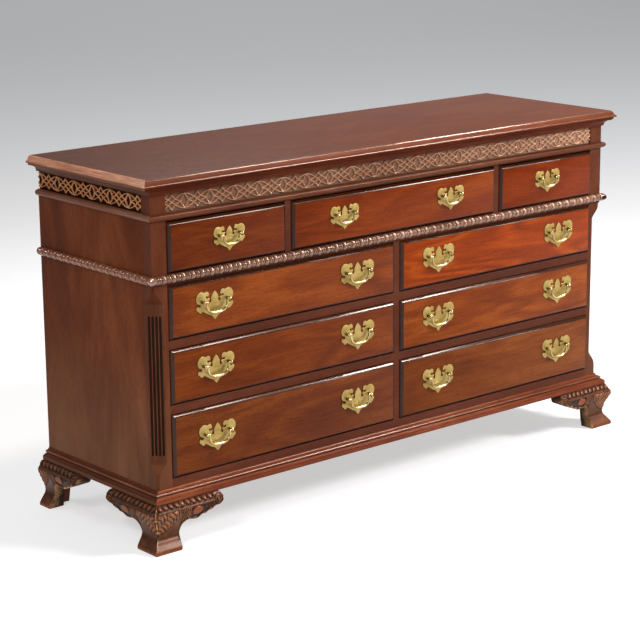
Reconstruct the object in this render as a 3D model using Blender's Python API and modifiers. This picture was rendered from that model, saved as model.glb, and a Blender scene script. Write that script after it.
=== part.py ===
"""A nine-drawer dresser with a moulded top, fretted frieze, fluted canted corners and ogee bracket feet.

Metres, +Z up, front towards -Y, origin on the floor under the middle of the whole piece.
"""

import math

import bmesh
import bpy

# Case
CASE_WIDTH = 1.570
CASE_DEPTH = 0.477
SIDE_THICKNESS = 0.020
BACK_THICKNESS = 0.008
POST_WIDTH = 0.0445
POST_DEPTH = 0.036
SEAT_GAP = 0.0003

# Heights of the members and drawer openings, from the floor up
FOOT_HEIGHT = 0.122
BASE_HEIGHT = 0.032
PLINTH_RAIL = 0.020
BOTTOM_ROW = 0.163
RAIL = 0.022
MIDDLE_ROW = 0.140
TOP_ROW = 0.137
WAIST_RAIL = 0.027
UPPER_ROW = 0.129
TOP_RAIL = 0.019
FRIEZE_HEIGHT = 0.046
COVE_HEIGHT = 0.018
SLAB_THICKNESS = 0.024

# Inner framing
RAIL_DEPTH = 0.060
DUST_PANEL = 0.010
CENTRE_STILE = 0.021
UPPER_STILE = 0.0184
CENTRE_DRAWER_OPENING = 0.7146
PLINTH_THICKNESS = 0.022
FRIEZE_THICKNESS = 0.022

# Mouldings, measured out from the face of the case
SLAB_SIDE_OVERHANG = 0.034
SLAB_FRONT_OVERHANG = 0.027
SLAB_EDGE = 0.012
COVE_REACH = 0.022
ASTRAGAL_HEIGHT = 0.017
ASTRAGAL_REACH = 0.0104
WAIST_BEAD = 0.022
WAIST_REACH = 0.0145
BASE_REACH = 0.0206
FRET_THICKNESS = 0.006

# Canted corner
CANT = 0.029
CANT_FOOT_STOP = 0.047
CANT_HEAD_STOP = 0.045
FLUTES = 4
FLUTE_PITCH = 0.009
FLUTE_RADIUS = 0.0032
FLUTE_LIFT = 0.0008
FLUTE_MARGIN = 0.014

# Bracket feet
FOOT_REACH = 0.174
FOOT_INSET = 0.010
FOOT_TOE = 0.036
FOOT_WAIST = 0.0185
FOOT_KNEE = 0.039
FOOT_CAP = 0.026
REAR_PLATE = 0.020

# Drawers
FRONT_THICKNESS = 0.024
FRONT_PROUD = 0.008
FRONT_GAP = 0.0025
UPPER_HEAD_GAP = 0.005
FRONT_EDGE = 0.007
BOX_SIDE_GAP = 0.0015
BOX_HEAD_GAP = 0.016
BOX_WALL = 0.012
BOX_BOTTOM = 0.010
BOX_BACK_GAP = 0.012

# Pulls
PLATE_THICKNESS = 0.0016
LARGE_PLATE_WIDTH = 0.114
SMALL_PLATE_WIDTH = 0.097
LARGE_POST_SPACING = 0.0766
SMALL_POST_SPACING = 0.0626
LARGE_BAIL_DROP = 0.0315
SMALL_BAIL_DROP = 0.0265
PIVOT_STANDOFF = 0.0094
BALL_RADIUS = 0.0052
NECK_RADIUS = 0.0026
PIN_RADIUS = 0.0016
PIN_CLEARANCE = 0.0005
BAIL_RADIUS = 0.0034
BAIL_ARM_GAP = 0.0008
LOWER_PULL_OFFSET = 0.2314
UPPER_PULL_OFFSET = 0.1867

# Heights that follow
BASE_TOP = FOOT_HEIGHT + BASE_HEIGHT
BOTTOM_SILL = BASE_TOP + PLINTH_RAIL
MIDDLE_SILL = BOTTOM_SILL + BOTTOM_ROW + RAIL
TOP_SILL = MIDDLE_SILL + MIDDLE_ROW + RAIL
WAIST_BOTTOM = TOP_SILL + TOP_ROW
UPPER_SILL = WAIST_BOTTOM + WAIST_RAIL
UPPER_HEAD = UPPER_SILL + UPPER_ROW
FRIEZE_BOTTOM = UPPER_HEAD + TOP_RAIL
COVE_BOTTOM = FRIEZE_BOTTOM + FRIEZE_HEIGHT
SLAB_BOTTOM = COVE_BOTTOM + COVE_HEIGHT

# Places that follow: the widest pieces front and back set the middle of the depth
HALF = CASE_WIDTH / 2
FRONT = -(CASE_DEPTH + FOOT_KNEE) / 2 + FOOT_KNEE
BACK = FRONT + CASE_DEPTH
POST_INNER = HALF - POST_WIDTH
SIDE_INNER = HALF - SIDE_THICKNESS
POST_BACK = FRONT + POST_DEPTH
PANEL_FRONT = BACK - BACK_THICKNESS
UPPER_STILE_INNER = CENTRE_DRAWER_OPENING / 2
UPPER_STILE_OUTER = UPPER_STILE_INNER + UPPER_STILE

MAHOGANY = ("mahogany", (0.16, 0.055, 0.025), 0.35, 0.0)
FIGURED = ("figured_mahogany", (0.25, 0.07, 0.025), 0.32, 0.0)
DARK_WOOD = ("shaded_mahogany", (0.10, 0.038, 0.020), 0.4, 0.0)
FRETWORK = ("fretwork_mahogany", (0.30, 0.13, 0.055), 0.45, 0.0)
BACKING = ("backing_board", (0.28, 0.17, 0.09), 0.7, 0.0)
BRASS = ("satin_brass", (0.62, 0.50, 0.20), 0.35, 1.0)


def clear_scene():
    for found in list(bpy.data.objects):
        bpy.data.objects.remove(found, do_unlink=True)


def collection(name, helpers=False):
    made = bpy.data.collections.new(name)
    bpy.context.scene.collection.children.link(made)
    made.hide_render = helpers
    return made


def material(stuff):
    name, colour, roughness, metallic = stuff
    made = bpy.data.materials.get(name)
    if made is None:
        made = bpy.data.materials.new(name)
        made.use_nodes = True
        shader = made.node_tree.nodes["Principled BSDF"]
        shader.inputs["Base Color"].default_value = (*colour, 1.0)
        shader.inputs["Roughness"].default_value = roughness
        shader.inputs["Metallic"].default_value = metallic
    return made


def mesh_from(name, bm):
    bmesh.ops.recalc_face_normals(bm, faces=bm.faces)
    made = bpy.data.meshes.new(name)
    bm.to_mesh(made)
    bm.free()
    return made


def piece(name, mesh, stuff, place=(0.0, 0.0, 0.0), parent=None):
    """A visible sub-part. A mesh without a material takes this one."""
    made = bpy.data.objects.new(name, mesh)
    if not mesh.materials:
        mesh.materials.append(material(stuff))
    made.location = place
    made.parent = parent
    PARTS.objects.link(made)
    return made


def helper(name, mesh, place=(0.0, 0.0, 0.0)):
    """A hidden operand of a Boolean."""
    made = bpy.data.objects.new(name, mesh)
    made.location = place
    made.hide_render = True
    made.display_type = "WIRE"
    HELPERS.objects.link(made)
    return made


def combine(target, other, operation):
    step = target.modifiers.new(f"{operation.lower()}_{other.name}", "BOOLEAN")
    step.operation = operation
    step.solver = "EXACT"
    step.object = other


def cut(target, other):
    combine(target, other, "DIFFERENCE")


def join(target, other):
    combine(target, other, "UNION")


def box(x, y, z):
    """A box mesh from its three spans, each a (low, high) pair."""
    bm = bmesh.new()
    bmesh.ops.create_cube(bm, size=1.0)
    spans = (x, y, z)
    for vert in bm.verts:
        vert.co = [low + (high - low) * (share + 0.5) for share, (low, high) in zip(vert.co, spans)]
    return mesh_from("box", bm)


def loft(rings):
    """A closed mesh through rings of equally many points, with a face across each end."""
    bm = bmesh.new()
    rows = [[bm.verts.new(point) for point in ring] for ring in rings]
    for near, far in zip(rows, rows[1:]):
        for i in range(len(near)):
            bm.faces.new((near[i - 1], near[i], far[i], far[i - 1]))
    bm.faces.new(rows[0])
    bm.faces.new(reversed(rows[-1]))
    return mesh_from("loft", bm)


def half_wave(start, end, steps):
    """Values easing from start to end, without start itself."""
    return [start + (end - start) * (1 - math.cos(math.pi * i / steps)) / 2 for i in range(1, steps + 1)]


def arc(centre, radius, start, end, steps):
    """Points of an arc in degrees, ends included, as (reach, height) pairs."""
    angles = [math.radians(start + (end - start) * i / steps) for i in range(steps + 1)]
    return [(centre[0] + radius[0] * math.cos(a), centre[1] + radius[1] * math.sin(a)) for a in angles]


def case_moulding(section):
    """A section of (reach, height) points, taken round the left, front and right of the case with mitres."""
    left_back = [(-HALF - reach, BACK, height) for reach, height in section]
    left_front = [(-HALF - reach, FRONT - reach, height) for reach, height in section]
    right_front = [(HALF + reach, FRONT - reach, height) for reach, height in section]
    right_back = [(HALF + reach, BACK, height) for reach, height in section]
    return loft([left_back, left_front, right_front, right_back])


# Top board with its bed moulding
def build_top():
    def slab_ring(inset, height):
        side = HALF + SLAB_SIDE_OVERHANG - inset
        front = FRONT - SLAB_FRONT_OVERHANG + inset
        return [(-side, front, height), (side, front, height), (side, BACK, height), (-side, BACK, height)]

    nose = SLAB_THICKNESS * 0.46
    lip = SLAB_THICKNESS * 0.2
    insets = [(SLAB_EDGE * 0.5, 0.0), (SLAB_EDGE * 0.5, lip), (SLAB_EDGE * 0.15, lip * 1.2), (0.0, nose)]
    rounding = arc((SLAB_EDGE, nose), (-SLAB_EDGE, SLAB_THICKNESS - nose), 20, 90, 4)
    rings = [slab_ring(inset, SLAB_BOTTOM + height) for inset, height in insets + rounding]
    top = piece("top_board", loft(rings), MAHOGANY)
    hollow = arc((COVE_REACH, COVE_BOTTOM), (-COVE_REACH * 0.8, COVE_HEIGHT), 0, 90, 4)
    section = [(SEAT_GAP, COVE_BOTTOM)] + hollow
    section += [(COVE_REACH, SLAB_BOTTOM + lip / 2), (SEAT_GAP, SLAB_BOTTOM + lip / 2)]
    join(top, helper("bed_moulding", case_moulding(section)))


# Sides, back and corner posts
def build_sides():
    for side, name in ((-1, "left"), (1, "right")):
        spans = sorted((side * SIDE_INNER, side * HALF))
        depth = (POST_BACK + SEAT_GAP, BACK)
        panel = piece(f"{name}_side", box(spans, depth, (FOOT_HEIGHT, SLAB_BOTTOM - SEAT_GAP)), DARK_WOOD)
        floor = HALF - FRET_THICKNESS - SEAT_GAP
        recess = sorted((side * floor, side * (HALF + SIDE_THICKNESS)))
        reach = (POST_BACK - SIDE_THICKNESS, BACK + SIDE_THICKNESS)
        cut(panel, helper(f"{name}_fret_recess", box(recess, reach, (FRIEZE_BOTTOM, COVE_BOTTOM))))
        strip = sorted((side * (floor + SEAT_GAP), side * HALF))
        height = (FRIEZE_BOTTOM + SEAT_GAP, COVE_BOTTOM - SEAT_GAP)
        piece(f"{name}_fret", box(strip, depth, height), FRETWORK)
    width = (-SIDE_INNER + SEAT_GAP, SIDE_INNER - SEAT_GAP)
    piece("back_panel", box(width, (PANEL_FRONT, BACK), (FOOT_HEIGHT, SLAB_BOTTOM - SEAT_GAP)), BACKING)


def cant_cutter(side):
    """The wedge taken off a corner, running out in an ogee stop at each end."""
    clear = CANT / 2
    foot, head = BOTTOM_SILL + CANT_FOOT_STOP, WAIST_BOTTOM - CANT_HEAD_STOP
    heights = [foot - CANT_FOOT_STOP * (1 - i / 5) for i in range(6)] + [head + CANT_HEAD_STOP * i / 5 for i in range(6)]
    depths = [-SEAT_GAP] + half_wave(-SEAT_GAP, CANT, 5)
    rings = []
    for height, depth in zip(heights, depths + depths[::-1]):
        far, near = HALF + clear, FRONT - clear
        rings.append([
            (side * far, near, height),
            (side * (HALF - depth - clear), near, height),
            (side * far, FRONT + depth + clear, height),
        ])
    return loft(rings)


def flute_cutter(side):
    """Parallel rods set into the canted face."""
    bm = bmesh.new()
    low, high = BOTTOM_SILL + CANT_FOOT_STOP + FLUTE_MARGIN, WAIST_BOTTOM - CANT_HEAD_STOP - 2 * FLUTE_MARGIN
    for i in range(FLUTES):
        along = (i - (FLUTES - 1) / 2) * FLUTE_PITCH / math.sqrt(2)
        lift = FLUTE_LIFT / math.sqrt(2)
        rod = bmesh.ops.create_cone(
            bm, cap_ends=True, segments=8, radius1=FLUTE_RADIUS, radius2=FLUTE_RADIUS, depth=high - low
        )
        shift = (side * (HALF - CANT / 2 - along + lift), FRONT + CANT / 2 - along - lift, (low + high) / 2)
        bmesh.ops.translate(bm, verts=rod["verts"], vec=shift)
    return mesh_from("flutes", bm)


def build_posts():
    for side, name in ((-1, "left"), (1, "right")):
        spans = sorted((side * (POST_INNER + SEAT_GAP), side * HALF))
        heights = (FOOT_HEIGHT, SLAB_BOTTOM - SEAT_GAP)
        post = piece(f"{name}_corner_post", box(spans, (FRONT, POST_BACK), heights), MAHOGANY)
        cut(post, helper(f"{name}_cant", cant_cutter(side)))
        cut(post, helper(f"{name}_flutes", flute_cutter(side)))


# Rails, dust boards and partitions
def shelf_parts(bottom, top):
    """The front rail of a shelf, notched between the posts, and the thin panel behind it."""
    narrow = (-POST_INNER, POST_INNER)
    wide = (-SIDE_INNER + SEAT_GAP, SIDE_INNER - SEAT_GAP)
    back = PANEL_FRONT - SEAT_GAP
    rail = box(narrow, (FRONT, FRONT + RAIL_DEPTH), (bottom, top))
    panel = box(wide, (POST_BACK + SEAT_GAP, back), (top - DUST_PANEL, top))
    return rail, panel


def stile(name, x, heights):
    back = PANEL_FRONT - SEAT_GAP
    return helper(name, box(x, (FRONT, back), heights))


def build_frames():
    overlap = RAIL / 4
    rail, panel = shelf_parts(BOTTOM_SILL - RAIL, BOTTOM_SILL)
    lower = piece("lower_frame", rail, MAHOGANY)
    join(lower, helper("bottom_board", panel))
    plinth = (FRONT, FRONT + PLINTH_THICKNESS)
    join(lower, helper("plinth_rail", box((-POST_INNER, POST_INNER), plinth, (FOOT_HEIGHT, BOTTOM_SILL - overlap))))
    for name, sill in (("middle", MIDDLE_SILL), ("top", TOP_SILL)):
        rail, panel = shelf_parts(sill - RAIL, sill)
        join(lower, helper(f"{name}_rail", rail))
        join(lower, helper(f"{name}_dust_panel", panel))
    half = CENTRE_STILE / 2
    join(lower, stile("centre_partition", (-half, half), (BOTTOM_SILL - overlap, WAIST_BOTTOM - SEAT_GAP)))

    rail, panel = shelf_parts(WAIST_BOTTOM, UPPER_SILL)
    upper = piece("upper_frame", rail, MAHOGANY)
    join(upper, helper("waist_panel", panel))
    for side, name in ((-1, "left"), (1, "right")):
        width = sorted((side * UPPER_STILE_INNER, side * UPPER_STILE_OUTER))
        join(upper, stile(f"{name}_divider", width, (UPPER_SILL - overlap, UPPER_HEAD - SEAT_GAP)))


# Frieze rail, its fret and the three applied mouldings
def build_frieze():
    width = (-POST_INNER, POST_INNER)
    heights = (UPPER_HEAD, SLAB_BOTTOM - SEAT_GAP)
    rail = piece("frieze_rail", box(width, (FRONT, FRONT + FRIEZE_THICKNESS), heights), MAHOGANY)
    floor = FRONT + FRET_THICKNESS + SEAT_GAP
    beyond = (-HALF, HALF)
    cut(rail, helper("front_fret_recess", box(beyond, (FRONT - POST_DEPTH, floor), (FRIEZE_BOTTOM, COVE_BOTTOM))))
    height = (FRIEZE_BOTTOM + SEAT_GAP, COVE_BOTTOM - SEAT_GAP)
    piece("front_fret", box(width, (FRONT, floor - SEAT_GAP), height), FRETWORK)


def build_mouldings():
    # A beak moulding: hollow above, pointed nose, round below
    bottom = FRIEZE_BOTTOM - ASTRAGAL_HEIGHT
    nose = bottom + ASTRAGAL_HEIGHT * 0.65
    above = arc((ASTRAGAL_REACH, FRIEZE_BOTTOM), (-ASTRAGAL_REACH * 0.8, nose - FRIEZE_BOTTOM), 90, 0, 3)
    below = arc((0.0, nose), (ASTRAGAL_REACH, bottom - nose), 18, 72, 3)
    section = above + below
    astragal = [(SEAT_GAP, bottom)] + section[::-1] + [(SEAT_GAP, FRIEZE_BOTTOM)]
    piece("frieze_moulding", case_moulding(astragal), MAHOGANY)

    # The waist bead, round on its face
    middle = UPPER_SILL - WAIST_BEAD / 2
    bead = arc((WAIST_REACH - WAIST_BEAD / 2, middle), (WAIST_BEAD / 2, WAIST_BEAD / 2), -90, 90, 8)
    waist = [(SEAT_GAP, UPPER_SILL - WAIST_BEAD)] + bead + [(SEAT_GAP, UPPER_SILL)]
    piece("waist_moulding", case_moulding(waist), MAHOGANY)

    # The base: fascia, hollow, bead and top fillet, from the bottom up
    fascia = FOOT_HEIGHT + BASE_HEIGHT * 0.36
    shelf = FOOT_HEIGHT + BASE_HEIGHT * 0.53
    hollow = arc((BASE_REACH, shelf), (-BASE_REACH * 0.42, fascia - shelf), 90, 0, 3)[::-1]
    bead = arc((BASE_REACH * 0.3, shelf + BASE_HEIGHT * 0.12), (BASE_REACH * 0.28, BASE_HEIGHT * 0.12), -90, 90, 4)
    crown = arc((BASE_REACH * 0.3, BASE_TOP), (-BASE_REACH * 0.3 + SEAT_GAP, -BASE_HEIGHT * 0.2), 90, 0, 3)
    low = [(SEAT_GAP, FOOT_HEIGHT + SEAT_GAP), (BASE_REACH, FOOT_HEIGHT + SEAT_GAP)]
    piece("base_moulding", case_moulding(low + hollow + bead[1:] + crown[1:]), MAHOGANY)


# Bracket feet
def ogee_section():
    """The foot's section as (reach, height) points: toe, waist, knee and cap, with a flat back."""
    top = FOOT_HEIGHT - SEAT_GAP
    stretches = (
        (FOOT_TOE, FOOT_WAIST, 0.08, 0.38, 4),
        (FOOT_WAIST, FOOT_KNEE, 0.38, 0.78, 4),
        (FOOT_KNEE, FOOT_CAP, 0.78, 1.0, 3),
    )
    points = [(-FOOT_INSET, 0.0), (FOOT_TOE, 0.0), (FOOT_TOE, top * 0.08)]
    for start, end, low, high, steps in stretches:
        reaches = half_wave(start, end, steps)
        points += [(reach, top * (low + (high - low) * (i + 1) / steps)) for i, reach in enumerate(reaches)]
    return points + [(-FOOT_INSET, top)]


def bracket_outline():
    """The scalloped space under a bracket, as (distance from the corner, height) points."""
    shape = [
        (0.24, -0.10), (0.24, 0.0), (0.26, 0.16), (0.28, 0.38), (0.31, 0.50), (0.37, 0.57),
        (0.50, 0.565), (0.58, 0.56), (0.62, 0.61), (0.70, 0.62), (0.74, 0.67), (0.80, 0.68),
        (0.85, 0.74), (0.93, 0.76), (0.98, 0.82), (1.0, 0.90), (0.97, 1.0), (0.97, 1.1),
        (1.5, 1.1), (1.5, -0.10),
    ]
    return [(FOOT_REACH * along, FOOT_HEIGHT * up) for along, up in shape]


def prism(ring, shift):
    moved = [tuple(a + b for a, b in zip(point, shift)) for point in ring]
    return loft([ring, moved])


def build_feet():
    section = ogee_section()
    length = FOOT_REACH * 1.06
    through = 3 * FOOT_KNEE
    for side, name in ((-1, "left"), (1, "right")):
        rings = [
            [(side * (HALF - length), FRONT - reach, height) for reach, height in section],
            [(side * (HALF + reach), FRONT - reach, height) for reach, height in section],
            [(side * (HALF + reach), FRONT + length, height) for reach, height in section],
        ]
        foot = piece(f"front_{name}_foot", loft(rings), MAHOGANY)
        face = [(side * (HALF - along), FRONT - FOOT_KNEE - FOOT_INSET, up) for along, up in bracket_outline()]
        cut(foot, helper(f"front_{name}_face_cut", prism(face, (0.0, through, 0.0))))
        flank = [(side * (HALF + FOOT_KNEE + FOOT_INSET), FRONT + along, up) for along, up in bracket_outline()]
        cut(foot, helper(f"front_{name}_flank_cut", prism(flank, (-side * through, 0.0, 0.0))))

        rings = [
            [(side * (HALF + reach), BACK - length, height) for reach, height in section],
            [(side * (HALF + reach), BACK, height) for reach, height in section],
        ]
        rear = piece(f"rear_{name}_foot", loft(rings), MAHOGANY)
        plate = sorted((side * (HALF - length), side * HALF))
        heights = (0.0, FOOT_HEIGHT - SEAT_GAP)
        join(rear, helper(f"rear_{name}_plate", box(plate, (BACK - REAR_PLATE, BACK), heights)))
        flank = [(side * (HALF + FOOT_KNEE + FOOT_INSET), BACK - along, up) for along, up in bracket_outline()]
        cut(rear, helper(f"rear_{name}_flank_cut", prism(flank, (-side * through, 0.0, 0.0))))
        face = [(side * (HALF - along), BACK - 2 * REAR_PLATE, up) for along, up in bracket_outline()]
        cut(rear, helper(f"rear_{name}_face_cut", prism(face, (0.0, 3 * REAR_PLATE, 0.0))))


# Batwing pulls: a flat plate with two turned posts, and a bail that swings between them
def plate_outline(width):
    """The plate's right half, top tip to bottom tip, as (across, up) points about the line of the posts."""
    half = [
        (0, 24), (4, 18), (6.5, 12), (9.2, 8), (10, 4), (13, -4.5), (15, 1), (15.8, 4),
        (22, 3.2), (25.6, 5.6), (22, 8), (16.6, 7.2), (15.4, 13), (18.5, 19.5), (24.5, 23.6),
        (33, 20.8), (41, 24.6), (50.5, 20), (56, 10.5), (56.4, 2), (53, -5), (46, -9.4),
        (42.5, -13.5), (48.5, -12.5), (54.4, -17), (53.6, -24), (44, -31), (35.4, -22.6),
        (28, -31.5), (18, -39), (9.5, -42.5), (6, -45.5), (0, -51.4),
    ]
    scale = width / (2 * 57.0)
    right = [(across * scale, up * scale) for across, up in half]
    return right + [(-across, up) for across, up in right[-2:0:-1]]


def baked(name, obj):
    """The mesh of an object with its modifiers and place, welded. The object goes."""
    bpy.context.view_layer.update()
    graph = bpy.context.evaluated_depsgraph_get()
    bm = bmesh.new()
    flat = bpy.data.meshes.new_from_object(obj.evaluated_get(graph))
    bm.from_mesh(flat)
    bm.transform(obj.matrix_world)
    bmesh.ops.remove_doubles(bm, verts=bm.verts, dist=1e-6)
    bpy.data.meshes.remove(flat)
    bpy.data.objects.remove(obj)
    return mesh_from(name, bm)


def curve_object(name, points, closed, dimensions):
    data = bpy.data.curves.new(name, "CURVE")
    data.dimensions = dimensions
    spline = data.splines.new("POLY")
    spline.points.add(len(points) - 1)
    for slot, point in zip(spline.points, points):
        slot.co = (*point, 1.0)
    spline.use_cyclic_u = closed
    made = bpy.data.objects.new(name, data)
    HELPERS.objects.link(made)
    return made


def flat_plate(width):
    """The plate upright, its back against the plane Y = PIVOT_STANDOFF + PLATE_THICKNESS."""
    made = curve_object("plate", [(across, up, 0.0) for across, up in plate_outline(width)], True, "2D")
    made.data.fill_mode = "BOTH"
    made.data.extrude = PLATE_THICKNESS / 2
    made.rotation_euler.x = math.pi / 2
    made.location.y = PIVOT_STANDOFF + PLATE_THICKNESS / 2
    return baked("plate", made)


def turned_post():
    """A ball on a waisted stem, its ball at the origin and its foot sunk in the plate."""
    foot = -PIVOT_STANDOFF - PLATE_THICKNESS / 2
    ball = [(BALL_RADIUS * math.sin(math.radians(a)), BALL_RADIUS * math.cos(math.radians(a))) for a in (0, 40, 80, 120)]
    stem = [(NECK_RADIUS, -BALL_RADIUS), (BALL_RADIUS * 0.8, -PIVOT_STANDOFF + 0.0008), (BALL_RADIUS * 0.8, foot), (0.0, foot)]
    profile = ball + stem
    data = bpy.data.meshes.new("post_profile")
    data.from_pydata([(x, 0.0, z) for x, z in profile], [(i, i + 1) for i in range(len(profile) - 1)], [])
    made = bpy.data.objects.new("post", data)
    HELPERS.objects.link(made)
    turn = made.modifiers.new("turn", "SCREW")
    turn.steps = turn.render_steps = 8
    turn.use_merge_vertices = True
    turn.merge_threshold = 1e-5
    made.rotation_euler.x = math.pi / 2
    return baked("post", made)


def pull_plate(size, width, spacing):
    """A plate with its two posts, each bored from the inner side for the bail's pin."""
    made = helper(f"{size}_plate", flat_plate(width))
    post = turned_post()
    for side in (-1, 1):
        join(made, helper(f"{size}_post_{side}", post, (side * spacing / 2, 0.0, 0.0)))
        bm = bmesh.new()
        bore = PIN_RADIUS + PIN_CLEARANCE
        bmesh.ops.create_cone(bm, cap_ends=True, segments=8, radius1=bore, radius2=bore, depth=2 * BALL_RADIUS)
        hole = helper(f"{size}_pin_hole_{side}", mesh_from("hole", bm), (side * (spacing / 2 - BALL_RADIUS), 0.0, 0.0))
        hole.rotation_euler.y = math.pi / 2
        cut(made, hole)
    return baked(f"{size}_pull_plate", made)


def pull_bail(size, spacing, drop):
    """A swelled bar bent to a flat-bottomed loop, its pins turned out into the posts."""
    arm = spacing / 2 - BALL_RADIUS - BAIL_ARM_GAP - PIN_RADIUS
    steps = 12
    loop = []
    for i in range(steps + 1):
        angle = math.pi * (1 + i / steps)
        across = math.copysign(abs(math.cos(angle)) ** (2 / 3), math.cos(angle))
        loop.append((arm * across, 0.0, -(drop - BAIL_RADIUS) * abs(math.sin(angle)) ** (2 / 3)))
    pin = spacing / 2 - BALL_RADIUS * 0.3
    points = [(-pin, 0.0, 0.0)] + loop + [(pin, 0.0, 0.0)]
    made = curve_object("bail", points, False, "3D")
    made.data.bevel_depth = BAIL_RADIUS
    made.data.bevel_resolution = 1
    made.data.use_fill_caps = True
    thin = PIN_RADIUS / BAIL_RADIUS
    for slot, point in zip(made.data.splines[0].points, points):
        slot.radius = thin + (1 - thin) * max(0.0, -point[2] / (drop - BAIL_RADIUS)) ** 2
    return baked(f"{size}_bail", made)


# Drawers
def drawer_front(width, bottom, top):
    """The front board, its four front edges rounded over."""
    bm = bmesh.new()
    bmesh.ops.create_cube(bm, size=1.0)
    spans = (width, (-FRONT_PROUD, FRONT_THICKNESS - FRONT_PROUD), (bottom, top))
    for vert in bm.verts:
        vert.co = [low + (high - low) * (share + 0.5) for share, (low, high) in zip(vert.co, spans)]
    edges = [edge for edge in bm.edges if all(vert.co.y < 0 for vert in edge.verts)]
    bmesh.ops.bevel(
        bm, geom=edges, offset=FRONT_EDGE, offset_type="OFFSET", affect="EDGES", segments=2, profile=0.5, material=-1
    )
    return mesh_from("drawer_front", bm)


def build_drawer(name, opening, sill, row, head_gap, pull, offsets):
    """One drawer with its pulls. Its own origin is on the case's face, in the middle of its opening's sill."""
    left, right = opening
    middle = (left + right) / 2
    half = (right - left) / 2
    width = (-half + FRONT_GAP, half - FRONT_GAP)
    bottom, top = FRONT_GAP, row - head_gap
    drawer = piece(f"drawer_{name}", drawer_front(width, bottom, top), FIGURED, (middle, FRONT, sill))

    start = FRONT_THICKNESS - FRONT_PROUD
    end = PANEL_FRONT - BOX_BACK_GAP - FRONT
    side = half - BOX_SIDE_GAP - FRONT_GAP
    box_top = row - BOX_HEAD_GAP
    body = box((-side, side), (start - BOX_WALL / 2, end), (SEAT_GAP, box_top))
    inner = side - BOX_WALL
    hollow = box((-inner, inner), (start, end - BOX_WALL), (SEAT_GAP + BOX_BOTTOM, row))
    place = (middle, FRONT, sill)
    join(drawer, helper(f"{name}_box", body, place))
    cut(drawer, helper(f"{name}_hollow", hollow, place))

    size, rise = pull
    for letter, offset in zip("ab", offsets):
        suffix = f"{name}_{letter}" if len(offsets) > 1 else name
        pivot = (offset, -FRONT_PROUD - SEAT_GAP - PLATE_THICKNESS - PIVOT_STANDOFF, (bottom + top) / 2 + rise)
        piece(f"plate_{suffix}", PLATES[size], BRASS, pivot, drawer)
        piece(f"bail_{suffix}", BAILS[size], BRASS, pivot, drawer)


def build_drawers():
    # The posts sit above the middle of the plate, which sits in the middle of the front
    large = ("large", LARGE_PLATE_WIDTH * 0.12)
    small = ("small", SMALL_PLATE_WIDTH * 0.12)
    inner = CENTRE_STILE / 2
    rows = (
        ("bottom", BOTTOM_SILL, BOTTOM_ROW),
        ("middle", MIDDLE_SILL, MIDDLE_ROW),
        ("top", TOP_SILL, TOP_ROW),
    )
    pair = (-LOWER_PULL_OFFSET, LOWER_PULL_OFFSET)
    for name, sill, row in rows:
        build_drawer(f"{name}_left", (-POST_INNER, -inner), sill, row, FRONT_GAP, large, pair)
        build_drawer(f"{name}_right", (inner, POST_INNER), sill, row, FRONT_GAP, large, pair)
    outer = (UPPER_STILE_OUTER, POST_INNER)
    middle = (-UPPER_STILE_INNER, UPPER_STILE_INNER)
    upper = (UPPER_SILL, UPPER_ROW, UPPER_HEAD_GAP, small)
    build_drawer("upper_left", (-outer[1], -outer[0]), *upper, (0.0,))
    build_drawer("upper_centre", middle, *upper, (-UPPER_PULL_OFFSET, UPPER_PULL_OFFSET))
    build_drawer("upper_right", outer, *upper, (0.0,))


clear_scene()
PARTS = collection("dresser")
HELPERS = collection("cutters", helpers=True)
PLATES = {
    "large": pull_plate("large", LARGE_PLATE_WIDTH, LARGE_POST_SPACING),
    "small": pull_plate("small", SMALL_PLATE_WIDTH, SMALL_POST_SPACING),
}
BAILS = {
    "large": pull_bail("large", LARGE_POST_SPACING, LARGE_BAIL_DROP),
    "small": pull_bail("small", SMALL_POST_SPACING, SMALL_BAIL_DROP),
}
build_top()
build_sides()
build_posts()
build_frames()
build_frieze()
build_mouldings()
build_feet()
build_drawers()
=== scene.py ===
"""Brown mahogany dresser of nine drawers: its finished pieces, finishes, camera and light.

Metres, +Z up, front towards -Y. Each piece is made in its place in the CAD frame.
"""

import math

import bmesh
import bpy
from mathutils import Matrix, Vector


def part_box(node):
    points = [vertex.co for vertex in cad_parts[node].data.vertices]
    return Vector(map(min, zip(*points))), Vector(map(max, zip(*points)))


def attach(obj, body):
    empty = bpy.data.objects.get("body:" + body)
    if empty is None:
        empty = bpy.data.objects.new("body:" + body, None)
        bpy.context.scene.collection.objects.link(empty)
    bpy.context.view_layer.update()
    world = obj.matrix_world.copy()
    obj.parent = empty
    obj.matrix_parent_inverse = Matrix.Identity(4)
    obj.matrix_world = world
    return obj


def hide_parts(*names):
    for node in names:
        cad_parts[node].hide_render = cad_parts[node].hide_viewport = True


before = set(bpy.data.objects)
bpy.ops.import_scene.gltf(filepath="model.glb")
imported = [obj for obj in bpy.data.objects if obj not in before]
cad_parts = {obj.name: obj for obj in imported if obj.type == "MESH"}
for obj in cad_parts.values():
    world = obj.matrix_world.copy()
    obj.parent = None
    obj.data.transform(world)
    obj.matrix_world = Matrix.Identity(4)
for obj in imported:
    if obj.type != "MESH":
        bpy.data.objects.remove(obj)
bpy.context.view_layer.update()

# Case, as in the CAD
HALF = 0.785
FRONT = -0.219
BACK = 0.258
POST_INNER = 0.7405
POST_BACK = -0.183
FOOT_HEIGHT = 0.122
BASE_TOP = 0.154
BOTTOM_SILL = 0.174
WAIST_BOTTOM = 0.658
UPPER_SILL = 0.685
FRIEZE_BOTTOM = 0.833
COVE_BOTTOM = 0.879
SLAB_BOTTOM = 0.897
TOP = 0.921
GAP = 0.0003
MM = 0.001

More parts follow.
